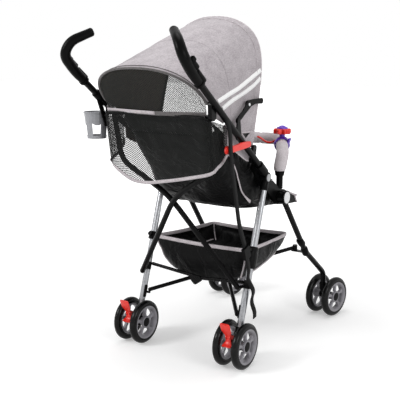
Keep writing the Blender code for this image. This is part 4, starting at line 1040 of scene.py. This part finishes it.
# Both lines are (y, z) points from the front to the back.
WING_LOW = [(-0.158, 0.458), (-0.080, 0.464), (-0.010, 0.474), (0.060, 0.486), (0.120, 0.498),
            (0.165, 0.507), (0.206, 0.532), (0.236, 0.559), (0.256, 0.598), (0.290, 0.655),
            (0.424, 0.797)]
WING_HIGH = [(-0.140, 0.488), (-0.090, 0.507), (-0.045, 0.523)]
WING_HIGH += [(handle_at(d).y, handle_at(d).z + lift) for d, lift in (
    (0.045, -0.010), (0.095, -0.004), (0.145, 0.008), (0.195, 0.016), (0.245, 0.018),
    (0.295, 0.014), (0.345, 0.004), (0.420, -0.006))]


def wing_shape(side):
    def shape(u, v):
        y, z = between(through(WING_LOW, u * 10), through(WING_HIGH, u * 10), v)
        belly = math.sin(math.pi * v) * math.sin(math.pi * min(1.0, u * 1.1))
        fold = 0.0022 * math.sin(60 * (y * 0.8 + z)) + ripple((0, y, z), 0.045, 0.005, 11.0 * side)
        return Vector((side * (SEAT_HALF + 0.0030 + (0.004 + fold) * belly), y, z))
    return shape


for side_name, side in SIDES:
    handle, edge = f"handle_{side_name}", wing_shape(side)
    wing = skin(f"seat_wing_{side_name}", 70, 18, edge, (0, 0.15, 0.60), TAFFETA, handle, CLOTH_WALL,
                node=f"side_panel_{side_name}")
    out = X * side * 0.001
    rear = [edge(0.535 + 0.40 * i / 30, 0.0) + out * 1.6 for i in range(31)]
    sizes = [(0.0016 + 0.0042 * max(0.0, 1 - i / 7) + 0.0012 * math.sin(math.pi * i / 30), 0.0018)
             for i in range(31)]
    tube(f"wing_piping_{side_name}", rear, sizes, PIPING, handle, across=Z - Y)
    front = [edge(0.0, i / 10) + out for i in range(11)]
    front += [edge(0.02 * i, 1.0) + out for i in range(1, 6)]
    tube(f"wing_front_binding_{side_name}", front, 0.0032, PIPING, handle)
    seam = [edge(0.49 - 0.30 * i / 20, 0.10 + 0.25 * math.sin(math.pi * i / 40)) + out
            for i in range(9)]
    tube(f"wing_seam_{side_name}", seam, 0.0014, DARK_BINDING, handle, 8)
    print(wing.name, len(wing.data.polygons), "faces")

# %% [markdown]
# ## The basket
# The basket is a bag of the same taffeta with a bound top edge, hung by its four corners. Rings of
# points round a rectangle are bridged down its walls and across its floor, and the walls sag between
# the corners. A box would need its corners rounded at every depth; averaging a ring does that.

# %% Basket
BASKET_REAR, BASKET_FRONT = Vector((0.1855, 0.226, 0.366)), Vector((0.160, -0.112, 0.352))
FLOOR_REAR_Z, FLOOR_FRONT_Z, FLOOR_SHARE = 0.256, 0.294, 1 - 0.022 / 0.17
BASKET_STEPS, BASKET_BODY = 96, "front_leg_right"
BASKET_LEVELS = [(d / 12, 0.0) for d in range(13)]      # depth, and then share of the way inwards
BASKET_LEVELS += [(1.0, inward) for inward in (0.10, 0.25, 0.45, 0.65, 0.82)]


def softened(points, rounds):
    """Closed rows of points with their corners eased by averaging."""
    for _ in range(rounds):
        points = [(points[i - 1] + points[i] * 2 + points[(i + 1) % len(points)]) / 4
                  for i in range(len(points))]
    return points


def basket_ring(depth, inward=0.0):
    """Points round the basket at a share of its depth, and a share of the way to its middle."""
    rim = [side_of(point, side) for point, side in (
        (BASKET_REAR, 1), (BASKET_REAR, -1), (BASKET_FRONT, -1), (BASKET_FRONT, 1))]
    centre = sum(rim, Vector()) / 4
    points = []
    for i in range(BASKET_STEPS):
        place = 4 * i / BASKET_STEPS
        k, t = int(place), place - int(place)
        a, b = rim[k], rim[(k + 1) % 4]
        top = a.lerp(b, t)
        floors = [FLOOR_REAR_Z if p.y > 0 else FLOOR_FRONT_Z for p in (a, b)]
        floor_z = floors[0] + (floors[1] - floors[0]) * t
        sag, curve = math.sin(math.pi * t), depth ** 2.2
        floor_sag = 0.020 if k == 0 else 0.006
        point = Vector((
            top.x + top.x * (FLOOR_SHARE - 1) * curve,
            top.y + (top.y - centre.y) * (FLOOR_SHARE - 1) * curve,
            top.z - 0.004 * sag * (1 - depth) - floor_sag * sag * depth + (floor_z - top.z) * depth,
        ))
        out = Vector((top.x, top.y - centre.y, 0)).normalized()
        swell = 0.007 * sag * math.sin(math.pi * min(1.0, depth * 0.9))
        crease = ripple(point, 0.050, 0.007, 21.0)
        crease += 0.003 * math.sin(70 * (point.x + point.y) + 90 * point.z)
        points.append(point + out * (swell + crease * math.sin(math.pi * min(1.0, depth * 0.95))))
    points = softened(points, 2 + int(22 * depth ** 1.5))
    middle = sum(points, Vector()) / len(points) - Z * 0.004
    return [p.lerp(middle, inward) - Z * 0.006 * math.sin(math.pi * min(1, inward)) for p in points]


def basket_mesh():
    bm, rings = bmesh.new(), []
    for level in BASKET_LEVELS:
        made = bmesh.ops.create_circle(bm, segments=BASKET_STEPS, radius=0.1,
                                       cap_ends=level == BASKET_LEVELS[-1])
        for vert, point in zip(made["verts"], basket_ring(*level)):
            vert.co = point
        rings.append(edges_of(made["verts"]))
    bridge(bm, rings)
    bmesh.ops.recalc_face_normals(bm, faces=bm.faces)
    face_away(bm, (0, 0.06, 0.33))
    return bm


basket = piece("basket_bag", basket_mesh(), TAFFETA, BASKET_BODY, angle=60, turn_out=False)
thicken(basket, 0.0016)
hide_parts("basket")
seams = [tube("basket_binding", [p - Z * 0.0045 for p in basket_ring(0.0)], (0.0066, 0.0030), PIPING,
              BASKET_BODY, loop=True, across=Z, angle=60)]
for label, index in (("rear_left", 0), ("rear_right", 24), ("front_right", 48), ("front_left", 72)):
    corner = [basket_ring(d / 14)[index] for d in range(15)]
    seams.append(tube(f"basket_seam_{label}", corner, 0.0028, PIPING, BASKET_BODY, 8))
for label, first in (("right", 26), ("left", 73)):
    edge = [basket_ring(0.93)[(first + i) % BASKET_STEPS] for i in range(22)]
    seams.append(tube(f"basket_floor_seam_{label}", edge, 0.0030, PIPING, BASKET_BODY, 8))
fold_flat(basket, *seams)
print("basket faces", len(basket.data.polygons), "seams", len(seams))

# %% [markdown]
# ## The toy bar
# Each half is foam tube in a sleeve of the canopy's cloth, gathered at its ends, drawn in a paler
# copy of that cloth as painted light. The sleeve's folds are rings of slightly different size, and a
# row of stitching nips it near each foot.

# %% Toy bar sleeves
BAR_RADIUS, BAR_BEND, BAR_STEP = 0.0225, 0.045, 0.004
BAR_POINTS = ((0.187, 0.010, 0.597), (0.187, 0.010, 0.606), (0.189, -0.006, 0.655),
              (0.088, -0.187, 0.680), (0.0004, -0.187, 0.680))

for side_name, side in SIDES:
    bar = f"toy_bar_{side_name}"
    path = evened(rounded([side_of(p, side) for p in BAR_POINTS], BAR_BEND, 8), BAR_STEP)
    sizes = []
    for i in range(len(path)):
        fold = ripple((i * BAR_STEP, side, 0), 0.020, 0.0007, 31.0)
        gather = min(1.0, 0.86 + 0.07 * min(i, len(path) - 1 - i))
        nip = 0.0008 if i in (2, 3) else 0.0
        sizes.append((BAR_RADIUS - 0.001 + fold) * gather - nip)
    # The sleeve's paler melange is painted light on its shaded lower side.
    sleeve = tube(f"toy_bar_sleeve_{side_name}", path, sizes, MELANGE_WITH_PAINTED_LIGHT, bar, 28, node=bar)
    collar = [side_of(BAR_POINTS[0], side) + Z * z for z in (-0.0185, -0.016, -0.004, 0.0005)]
    tube(f"toy_bar_cuff_{side_name}", collar, [0.0130, 0.0150, 0.0172, 0.0172], NYLON, bar, 24)
    print(bar, round(length_of(path), 3), "m")

# %% [markdown]
# ## The toys on the bar
# A clip-on ring carries a flower that spins. The flower is a scalloped disc under a domed cap with a
# raised ring, and a bent arm reaches out of the clip. These are hard, glossy mouldings.

# %% Flower, cap, tab and arm
RING_CENTRE = Vector((-0.12638, -0.11822, 0.67050))
FLOWER_FOOT = RING_CENTRE + Z * 0.0376
PETALS, PETAL_RADIUS, PETAL_WAVE, FLOWER_HEIGHT = 8, 0.0290, 0.0038, 0.0185
FLOWER_LEVELS = ((0.0, 0.90), (0.0018, 0.97), (0.005, 1.0), (0.0135, 1.0), (0.0170, 0.96),
                 (FLOWER_HEIGHT, 0.88))
DOME = [(0.0, 0.0001), (0.0, 0.0200), (0.0030, 0.0198), (0.0055, 0.0178), (0.0060, 0.0150),
        (0.0052, 0.0140), (0.0062, 0.0128), (0.0092, 0.0095), (0.0108, 0.0050), (0.0112, 0.0001)]
ARM = ((-0.106, -0.118, 0.688), (-0.092, -0.113, 0.676), (-0.074, -0.111, 0.6735),
       (-0.056, -0.113, 0.679), (-0.038, -0.116, 0.689), (-0.024, -0.118, 0.692))


def flower_mesh():
    bm, rings = bmesh.new(), []
    for level, share in FLOWER_LEVELS:
        made = bmesh.ops.create_circle(bm, segments=PETALS * 12, radius=1.0,
                                       cap_ends=level in (0.0, FLOWER_HEIGHT))
        for vert in made["verts"]:
            turn = math.atan2(vert.co.y, vert.co.x)
            r = (PETAL_RADIUS + PETAL_WAVE * math.cos(PETALS * turn)) * share
            vert.co = FLOWER_FOOT + Vector((r * math.cos(turn), r * math.sin(turn), level))
        rings.append(edges_of(made["verts"]))
    return bridge(bm, rings)


piece("toy_flower_petals", flower_mesh(), RED_ABS, "toy_flower", "toy_flower", angle=40)
piece("toy_flower_dome", turned(DOME, FLOWER_FOOT + Z * (FLOWER_HEIGHT + 0.0002), Z, 40), VIOLET_ABS,
      "toy_flower", "toy_cap", angle=40)
arm = evened(rounded(ARM, 0.012, 5), 0.003)
arm_sizes = [0.0040 * min(1.0, 0.45 + 0.3 * min(i, len(arm) - 1 - i)) for i in range(len(arm))]
tube("toy_arm", arm, arm_sizes, RED_ABS, "toy_bar_right", 16)
tab = bmesh.new()
tab_place = Matrix.Translation(RING_CENTRE + Vector((-0.0310, 0.008, 0.012)))
tab_place @= Matrix.Rotation(-0.35, 4, "Y") @ Matrix.Diagonal((0.006, 0.016, 0.026, 1))
bmesh.ops.create_cube(tab, size=1.0, matrix=tab_place)
bmesh.ops.bevel(tab, geom=tab.edges[:], offset=0.0018, segments=3, **BEVEL)
piece("toy_ring_tab", tab, PURPLE_ABS, "toy_bar_right")
print("flower", PETALS, "petals, arm", round(length_of(arm), 3), "m")

# %% [markdown]
# ## Wheels
# Each wheel is a five-spoke moulded rim in a foam tyre. Tyre, rim ring and hub are turned, and one
# spoke is cut as an outline, thickened, bevelled and spun to five. Holes could be cut from a disc
# instead, but that leaves ragged faces. The front pairs stand turned with their casters.

# %% Wheels
WHEEL_RADIUS, TYRE_HALF, SEAT_RADIUS, SPOKES = 0.075, 0.012, 0.0545, 5
REAR_AXLE, FRONT_STEM = Vector((0.202, 0.316, 0.075)), Vector((0.225, -0.291, 0.128))
CASTER_TURN, CASTER_TRAIL = math.radians(-10.5), 0.024
CASTER_AXIS = Vector((math.cos(CASTER_TURN), math.sin(CASTER_TURN), 0.0))
CASTER_AHEAD = Vector((math.sin(CASTER_TURN), -math.cos(CASTER_TURN), 0.0))
TYRE_SIDE = [        # one side, from the rim to the tread
    (0.0022 - TYRE_HALF, SEAT_RADIUS + 0.0003), (-TYRE_HALF, SEAT_RADIUS + 0.0028),
    (-TYRE_HALF, 0.0610), (0.0008 - TYRE_HALF, 0.0618), (-TYRE_HALF, 0.0626),
    (0.0003 - TYRE_HALF, 0.0660), (0.0022 - TYRE_HALF, 0.0700), (-TYRE_HALF * 0.55, 0.0735),
    (-TYRE_HALF * 0.25, WHEEL_RADIUS - 0.0003),
]
RIM_RING = [(-0.0100, 0.0480), (-0.0100, SEAT_RADIUS), (0.0098, SEAT_RADIUS), (0.0124, 0.0571),
            (0.0131, 0.0566), (0.0128, 0.0540), (0.0110, 0.0512), (0.0085, 0.0490),
            (0.0030, 0.0472), (-0.0040, 0.0472)]
RIM_HUB = [(-0.0115, 0.0045), (-0.0115, 0.0130), (-0.003, 0.0160), (0.0040, 0.0216),
           (0.0088, 0.0216), (0.0106, 0.0204), (0.0106, 0.0172), (0.0085, 0.0165), (0.0085, 0.0045)]
SPOKE_SIDE = [(0.0195, 0.0056), (0.0300, 0.0044), (0.0405, 0.0062), (0.0478, 0.0120)]
SPOKE = [(out, -wide) for out, wide in SPOKE_SIDE] + [(0.0496, 0.0)] + SPOKE_SIDE[::-1]
SPOKE_BACK, SPOKE_THICKNESS = 0.0035, 0.0105


def closed(profile):
    """A profile that ends where it starts."""
    return profile + profile[:1]


def mirrored(half, *middle):
    """A closed profile from its half on the low side, and any points in its middle."""
    return closed(half + list(middle) + [(-along, radius) for along, radius in reversed(half)])


def cap_mesh(centre, axis, low, radius, height):
    """A low domed cap on a flat base."""
    return turned([
        (low, 0.0001), (low, radius), (low + height * 0.5, radius),
        (low + height * 0.85, radius * 0.88), (low + height, radius * 0.6),
        (low + height * 1.05, 0.0001),
    ], centre, axis, 32)


def rim_mesh(centre, axis, outward):
    """A rim with a flange over the tyre, a ring-shaped hub and five flared spokes."""
    bm = bmesh.new()
    for profile, steps in ((RIM_RING, 72), (RIM_HUB, 48)):
        turned([(along * outward, r) for along, r in closed(profile)], centre, axis, steps, bm)
    facing, aside = axis * outward, axis.cross(Z)
    corners = [bm.verts.new(centre + Z * a + aside * b - facing * SPOKE_BACK) for a, b in SPOKE]
    grown = bmesh.ops.extrude_face_region(bm, geom=[bm.faces.new(corners)])["geom"]
    top = [v for v in grown if isinstance(v, bmesh.types.BMVert)]
    bmesh.ops.translate(bm, verts=top, vec=facing * SPOKE_THICKNESS)
    edges = [e for e in edges_of(top) if all(v in top for v in e.verts)]
    bevelled = bmesh.ops.bevel(bm, geom=edges, offset=0.0018, segments=2, **BEVEL)
    spoke = {v for v in corners + top if v.is_valid} | set(bevelled["verts"])
    faces = {face for vert in spoke for face in vert.link_faces}
    bmesh.ops.spin(bm, geom=[*spoke, *faces, *edges_of(spoke)], cent=centre, axis=axis,
                   angle=2 * math.pi * (SPOKES - 1) / SPOKES, steps=SPOKES - 1, use_duplicate=True)
    return bm


for place, pair_half in (("front", 0.036), ("rear", 0.034)):
    for side_name, side in SIDES:
        body = f"{place}_wheels_{side_name}"
        axle, axis = side_of(REAR_AXLE, side), X
        if place == "front":
            stem = side_of(FRONT_STEM, side)
            axle = Vector((stem.x, stem.y, WHEEL_RADIUS)) + CASTER_AHEAD * CASTER_TRAIL
            axis = CASTER_AXIS
        for label, way in (("a", -1), ("b", 1)):
            middle, wheel = axle + axis * pair_half * way, f"{side_name}_{label}"
            tyre = turned(mirrored(TYRE_SIDE, (0.0, WHEEL_RADIUS)), middle, axis, 72)
            piece(f"{place}_tyre_skin_{wheel}", tyre, EVA_SKIN, body, f"{place}_tyre_{wheel}", angle=30)
            piece(f"{place}_spoked_rim_{wheel}", rim_mesh(middle, axis, way), RIM_PLASTIC, body,
                  f"{place}_rims_{side_name}", angle=30)
            piece(f"{place}_hub_cap_{wheel}",
                  cap_mesh(middle, axis * way, 0.0086, 0.0158, 0.0016), NYLON, body)
        end = pair_half - 0.0118
        bar = [(-end, 0.0001), (-end, 0.0040), (end, 0.0040), (end, 0.0001)]
        piece(f"{place}_axle_{side_name}", turned(bar, axle, axis, 24), NICKEL, body)
        print(body, "at", [round(c, 3) for c in axle])

# %% [markdown]
# ## Rear legs and brakes
# Each rear leg is a satin oval tube under a black eye. Flat links and the brakes' cheeks are hulls
# round two circles, so a small helper makes them all.

# %% Rear legs and flat links
LEG_FOOT, LEG_PIVOT = Vector((0.202, 0.291, 0.119)), Vector((0.2035, 0.138, 0.592))
LEG_LINE = (LEG_PIVOT - LEG_FOOT).normalized()
BRAKE_PIVOT = REAR_AXLE + Vector((0, 0.030, 0.034))
BAND_Z = 0.256
EYE_SIDE = [(-0.0110, 0.0050), (-0.0110, 0.0165), (-0.0095, 0.0180)]
HUB_SIDE = [(-0.0213, 0.0042), (-0.0213, 0.0155), (-0.0200, 0.0165)]
NECK = ((0.012, (0.0120, 0.0125)), (0.016, (0.0128, 0.0140)), (0.040, (0.0128, 0.0130)),
        (0.043, (0.0115, 0.0115)))      # distance below the pivot, and size
CUFF = ((0.306, (0.0135, 0.0150)), (0.312, (0.0165, 0.0200)), (0.330, (0.0170, 0.0220)),
        (0.350, (0.0172, 0.0215)), (0.368, (0.0165, 0.0190)), (0.374, (0.0140, 0.0150)))
PEDAL = (            # y and z from the pivot, and half width
    (0.0370, 0.0540, 0.0170), (0.0355, 0.0480, 0.0190), (0.0270, 0.0280, 0.0185),
    (0.0170, 0.0120, 0.0120), (0.0130, 0.0010, 0.0095), (0.0140, -0.0110, 0.0105),
    (0.0215, -0.0210, 0.0170), (0.0280, -0.0240, 0.0170),
)


def link(start_circle, end_circle, low, high):
    """A flat bar between two circles (y, z, radius), from one x to another."""
    bm, corners = bmesh.new(), []
    for x in (low, high):
        for y, z, r in (start_circle, end_circle):
            place = Matrix.Translation((x, y, z)) @ Matrix.Rotation(math.pi / 2, 4, "Y")
            corners += bmesh.ops.create_circle(bm, segments=24, radius=r, matrix=place)["verts"]
    bmesh.ops.convex_hull(bm, input=corners)
    bmesh.ops.delete(bm, geom=[v for v in bm.verts if not v.link_faces], context="VERTS")
    return bm


def chain(name, circles, low, high, material, body, node):
    """One piece made of flat links from circle to circle."""
    bm = bmesh.new()
    for k, (a, b) in enumerate(zip(circles, circles[1:])):
        thinner = math.copysign(0.0003 * k, high - low)     # so no two faces lie in one plane
        part = link(a, b, low + thinner, high - thinner)
        bmesh.ops.recalc_face_normals(part, faces=part.faces)
        lump = bpy.data.meshes.new("link")
        part.to_mesh(lump)
        part.free()
        bm.from_mesh(lump)
    return piece(name, bm, material, body, node)


def eased(small, full):
    """The four sizes of a short band whose two ends are smaller."""
    return [small, full, full, small]


def leg_at(z, side):
    """A point on a rear leg's line, at a height."""
    return side_of(LEG_FOOT.lerp(LEG_PIVOT, (z - LEG_FOOT.z) / (LEG_PIVOT.z - LEG_FOOT.z)), side)


for side_name, side in SIDES:
    body, brake = f"rear_leg_{side_name}", f"brake_{side_name}"
    ends = [side_of(LEG_FOOT - LEG_LINE * 0.004, side), side_of(LEG_PIVOT - LEG_LINE * 0.026, side)]
    tube(f"leg_tube_{side_name}", evened(ends, 0.05), (0.0112, 0.0098), ANODISED, body, 32, across=X,
         node=body)
    piece(f"leg_eye_{side_name}", turned(mirrored(EYE_SIDE), side_of(LEG_PIVOT, side), X, 40), NYLON,
          body)
    tube(f"leg_neck_{side_name}", [side_of(LEG_PIVOT - LEG_LINE * d, side) for d, _ in NECK],
         [size for _, size in NECK], NYLON, body, 32, across=X)
    for label, foot, radius in (
            ("x", (0.185, 0.2785 + (0.022 if side > 0 else 0), 0.252), 0.0052),
            ("stay", (0.186, 0.238 + (0.013 if side < 0 else 0), 0.262), 0.0038),
            ("bar", (0.178, 0.2686, 0.167), 0.0042)):
        tube(f"leg_stub_{label}_{side_name}", [leg_at(foot[2], side), side_of(foot, side)], radius,
             NYLON, body, 16)
    plate = [leg_at(z, side) + Vector((-0.0095 * side, 0.002, 0)) for z in (0.150, 0.154, 0.188, 0.192)]
    tube(f"leg_plate_{side_name}", plate, eased((0.0030, 0.0060), (0.0040, 0.0080)), NYLON, body, 20,
         across=X)
    band = [leg_at(BAND_Z + d, side) for d in (-0.013, -0.011, 0.011, 0.013)]
    tube(f"leg_band_high_{side_name}", band, eased((0.0116, 0.0102), (0.0126, 0.0112)), NYLON, body,
         28, across=X)
    if side < 0:
        tube("basket_corner_cuff", [leg_at(z, side) for z, _ in CUFF], [size for _, size in CUFF],
             TAFFETA, body, 32, across=X)
    boss, foot = side_of(REAR_AXLE, side), side_of(LEG_FOOT, side)
    hub_path = [boss, boss.lerp(foot, 0.5), foot, foot + side_of(LEG_LINE, side) * 0.006]
    hub = turned(mirrored(HUB_SIDE), boss, X, 40, loft(evened(hub_path, 0.006), 0.0138, 28))
    piece(f"wheel_hub_{side_name}", hub, NYLON, body, f"rear_hub_{side_name}")
    ear = link((boss.y, boss.z, 0.012), (BRAKE_PIVOT.y, BRAKE_PIVOT.z, 0.008),
               boss.x - 0.005, boss.x + 0.005)
    piece(f"brake_ear_{side_name}", ear, NYLON, body, f"rear_hub_{side_name}")
    pivot = side_of(BRAKE_PIVOT, side)
    tube(f"brake_pedal_{side_name}", [pivot + Vector((0, y, z)) for y, z, _ in PEDAL],
         [(wide, 0.0030) for _, _, wide in PEDAL], RED_ABS, brake, 20, across=X, node=brake)
    for label, way in (("a", -1), ("b", 1)):
        cheek = link((pivot.y, pivot.z, 0.0065), (pivot.y + 0.014, pivot.z + 0.004, 0.0060),
                     pivot.x + way * 0.0055, pivot.x + way * 0.0085)
        piece(f"brake_cheek_{side_name}_{label}", cheek, RED_ABS, brake, brake)
    print(body, round(length_of(ends), 3), "m")

# %% [markdown]
# ## Hand grips
# Each grip is a moulded rubber sleeve that bends inwards like a cane. It thickens at the bend and
# ends in a dome. A collar joins it to the tube, and a stepped fold trigger sits in front of it.

# %% Grips
GRIP_POINTS = ((0.2145, 0.619, 0.984), (0.194, 0.611, 1.024), (0.1500, 0.568, 1.050))
GRIP_BEND, GRIP_STEP, GRIP_OVAL = 0.032, 0.004, 1.10
TRIGGER = (        # start and end along the handle, distance off it, and size
    ("body", -0.003, 0.044, 0.0122, (0.0115, 0.0100)),
    ("lever", 0.048, 0.080, 0.0180, (0.0100, 0.0105)),
    ("tip", 0.072, 0.088, 0.0230, (0.0085, 0.0105)),
)
for side_name, side in SIDES:
    handle = f"handle_{side_name}"
    foot, line = side_of(HANDLE_END, side), side_of(HANDLE_LINE, side)
    points = [foot, foot + line * 0.053] + [side_of(p, side) for p in GRIP_POINTS]
    path = rounded(points, GRIP_BEND, 8)
    end = (path[-1] - path[-2]).normalized()
    path = evened(path, GRIP_STEP)
    radii = [0.0128 + 0.0022 * math.sin(math.pi * min(1.0, i / (len(path) - 1) * 1.05))
             for i in range(len(path))]
    path += [path[-1] + end * d for d in (0.003, 0.0055, 0.0072)]
    radii += [radii[-1] * share for share in (0.94, 0.78, 0.5)]
    tube(f"grip_sleeve_{side_name}", path, [(r, r * GRIP_OVAL) for r in radii], GRIP_RUBBER, handle,
         24, node=f"grip_{side_name}")
    tube(f"grip_collar_{side_name}", [foot + line * d for d in (-0.004, -0.002, 0.006, 0.008)],
         [0.0135, 0.0150, (0.0155, 0.0160), (0.0150, 0.0155)], NYLON, handle, 24)
    lean = Vector((side * 0.35, -0.55, 0.70))
    lean = (lean - line * lean.dot(line)).normalized()
    for label, low, high, off, size in TRIGGER:
        steps = [foot + line * d + lean * off for d in (low, low + 0.003, high - 0.003, high)]
        tube(f"fold_trigger_{label}_{side_name}", steps, eased((size[0] * 0.75, size[1] * 0.75), size),
             NYLON, handle, 20, across=line.cross(lean))
    print("grip", side_name, round(length_of(path), 3), "m")

# %% [markdown]
# ## Caps and rivets
# The main pivots end in a cap or a rivet head. They are small, but their bright dots mark each joint;
# on the rivets that brightness is a painted glint in their near-white colour.
# Two black sleeves on each front leg mark where its tube is joined. A cap is a turned profile and
# not a ball, because its base is flat and its dome is low.

# %% Caps and rivets
LEG_JOINTS = (("a", (0.2090, -0.108, 0.333), (0.2125, -0.130, 0.310)),
              ("b", (0.2120, -0.141, 0.297), (0.2145, -0.158, 0.268)))


def cap(name, place, side, body, radius=0.0040, height=0.0016, material=PALE_CAP_AND_RIVET_GLINT, slot=None):
    """A rivet head or a cap that faces out sideways."""
    piece(name, cap_mesh(side_of(place, side), X * side, 0.0, radius, height), material, body,
          slot=slot)


for side_name, side in SIDES:
    leg, handle = f"front_leg_{side_name}", f"handle_{side_name}"
    cap(f"hinge_rim_{side_name}", (0.2188, HINGE.y, HINGE.z), side, leg, 0.0245, 0.003, NYLON)
    cap(f"hinge_cap_{side_name}", (0.2218, HINGE.y, HINGE.z), side, leg, 0.0200, 0.003,
        slot="black_plastic")
    cap(f"leg_cap_{side_name}", (0.2146, LEG_PIVOT.y, LEG_PIVOT.z), side, f"rear_leg_{side_name}",
        0.0125, 0.002, DULL_CAP)
    # The rivets' near-white colour is a painted glint of their plated heads.
    cap(f"bracket_rivet_a_{side_name}", (0.1925, 0.072, 0.574), side, handle)
    cap(f"bracket_rivet_b_{side_name}", (0.1925, 0.128, 0.569), side, handle)
    for label, low, high in LEG_JOINTS:
        run = [side_of(Vector(low).lerp(Vector(high), t), side) for t in (0, 0.15, 0.85, 1)]
        tube(f"leg_joint_{label}_{side_name}", run, eased(0.0108, 0.0130), NYLON, leg, 24)
print("caps and rivets", 5 * len(SIDES))

# %% [markdown]
# ## Hood braces and the fold latch
# A two-part brace holds the hood open on each side, with a round knee and a rivet whose bright glint
# is painted into its colour. The fold latch is a red lever with a round knob. Both are chains of flat
# links, like stamped parts.

# %% Braces and latch
BRACE_IN, BRACE_WAIST = 0.2015, 0.00782
BRACE_BASE, BRACE_KNEE, BRACE_TIP = (0.325, 0.790), (0.258, 0.835), (0.172, 0.842)
BRACES = (        # from and to, their radii, the rise of the middle, and the faces from BRACE_IN
    ("lower", BRACE_BASE, BRACE_KNEE, 0.0080, 0.0120, -0.002, 0.0033, 0.0075),
    ("upper", BRACE_KNEE, BRACE_TIP, 0.0120, 0.0090, 0.004, -0.0012, 0.0030),
)
for side_name, side in SIDES:
    for label, a, b, a_radius, b_radius, rise, low, high in BRACES:
        y, z = between(a, b, 0.5)
        circles = [(*a, a_radius), (y, z + rise, BRACE_WAIST), (*b, b_radius)]
        brace = f"brace_{label}_{side_name}"
        chain(f"brace_arm_{label}_{side_name}", circles, side * (BRACE_IN + low),
              side * (BRACE_IN + high), NYLON, brace, brace)
    # The rivet's near-white colour is a painted glint of its plated head.
    cap(f"brace_rivet_{side_name}", (BRACE_IN + 0.0076, *BRACE_KNEE), side,
        f"brace_lower_{side_name}", 0.0048)
latch_base = handle_at(0.335, -1)
latch_x, knob = latch_base.x - 0.0103, (0.406, 0.7105)
chain("latch_lever", [
    (latch_base.y - 0.002, latch_base.z + 0.004, 0.0085), (0.325, 0.7150, 0.0105),
    (0.368, 0.7110, 0.0090), (*knob, 0.0128),
], latch_x - 0.0070, latch_x, RED_ABS, "fold_latch", "fold_latch")
piece("latch_knob", cap_mesh((latch_x - 0.0061, *knob), -X, 0.0, 0.0080, 0.0020), RED_ABS,
      "fold_latch")
print("braces", len(BRACES) * len(SIDES), "latch at x", round(latch_x, 4))

# %% [markdown]
# ## The free strap
# The storage strap hangs from the right handle to a buckle beside the basket, and its spare end
# dangles below. It is flat webbing, so it is a ribbon along its path. Its points are listed where the
# strap touches, turns and ends.

# %% Storage strap
STRAP_WIDTH, STRAP_THICKNESS, STRAP_PLACE = 0.020, 0.0018, 0.486
STRAP_DROPS = (      # outwards from the handle, y and z
    (0.0195, 0.405, 0.775), (0.0235, 0.402, 0.683), (0.0235, 0.380, 0.590),
    (0.0235, 0.354, 0.478), (0.0220, 0.325, 0.425), (0.0220, 0.292, 0.335),
    (0.0200, 0.284, 0.310), (0.0110, 0.279, 0.286), (0.0330, 0.270, 0.246),
    (0.0150, 0.262, 0.210), (0.0260, 0.254, 0.172), (0.0235, 0.250, 0.150),
)
strap_top = handle_at(STRAP_PLACE, -1)
strap_points = [strap_top - X * 0.006]
strap_points += [Vector((strap_top.x - out, y, z)) for out, y, z in STRAP_DROPS]
strap_path = evened(rounded(strap_points, 0.030, 4), 0.006)
strap = ribbon("storage_strap", strap_path, STRAP_WIDTH, WEBBING, "handle_right", lambda p: -X,
               STRAP_THICKNESS)
strap_length = length_of(strap_path)
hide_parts("side_strap")
moved(strap_path[0])
[moved(p) for p in strap_path]
print("strap", round(strap_length, 3), "m")

# %% [markdown]
# ## Floor, sky and lamps
# The stroller stands in a white studio. The world gives an even soft light, and looks pure white to
# the camera, to mirrors and through the net's holes. The floor is white too and keeps a soft shadow.

# %% Studio
scene = bpy.context.scene
scene.view_settings.view_transform = "Standard"
WORLD_LIGHT = 0.50
GLOW_NEAR, GLOW_FAR = 0.6, 2.6      # where the floor's own light starts to grow, and where it is full


def seen_directly(tree):
    """1 for rays from the camera, a mirror or something clear, and 0 for light on the object."""
    path = add(tree, "ShaderNodeLightPath").outputs
    first = maths(tree, "MAXIMUM", path["Is Camera Ray"], path["Is Glossy Ray"])
    return maths(tree, "MAXIMUM", first, path["Is Transmission Ray"])


def white_world(level):
    world = bpy.data.worlds.new("white_studio")
    scene.world = world
    world.use_nodes = True
    tree = world.node_tree
    strength = add(tree, "ShaderNodeMapRange", {
        "Value": seen_directly(tree), "To Min": level, "To Max": 1.0})
    background = tree.nodes["Background"]
    background.inputs["Color"].default_value = (1, 1, 1, 1)
    tree.links.new(strength.outputs[0], background.inputs["Strength"])


def white_floor():
    bm = bmesh.new()
    bmesh.ops.create_grid(bm, x_segments=1, y_segments=1, size=20.0)
    mesh = bpy.data.meshes.new("floor")
    bm.to_mesh(mesh)
    bm.free()
    floor = bpy.data.objects.new("floor", mesh)
    bpy.context.collection.objects.link(floor)
    made, tree, shader = start("white_floor", 1.0, Base_Color=linear("#EDEDED"),
                               Specular_IOR_Level=0.0, Emission_Color=(1, 1, 1, 1))
    far = add(tree, "ShaderNodeVectorMath", {0: in_place(tree)}, operation="LENGTH")
    glow = add(tree, "ShaderNodeMapRange", {
        "Value": far.outputs["Value"], "From Min": GLOW_NEAR, "From Max": GLOW_FAR,
        "To Min": 0.30, "To Max": 1.0})
    seen = maths(tree, "MULTIPLY", glow.outputs[0], seen_directly(tree))
    tree.links.new(seen, shader.inputs["Emission Strength"])
    mesh.materials.append(made)


def softbox(name, place, size, power):
    """A square area lamp that faces the stroller's middle."""
    lamp = bpy.data.lights.new(name, "AREA")
    lamp.shape, lamp.size, lamp.energy = "SQUARE", size, power
    made = bpy.data.objects.new(name, lamp)
    made.location = place
    made.rotation_euler = (Vector(place) - Z * 0.55).to_track_quat("Z", "Y").to_euler()
    bpy.context.collection.objects.link(made)


white_world(WORLD_LIGHT)
white_floor()
softbox("key", (1.5, 2.4, 2.0), 0.9, 44.0)
softbox("fill", (-2.6, 0.9, 1.5), 1.2, 24.0)
softbox("top", (0.0, 0.0, 3.2), 1.4, 24.0)
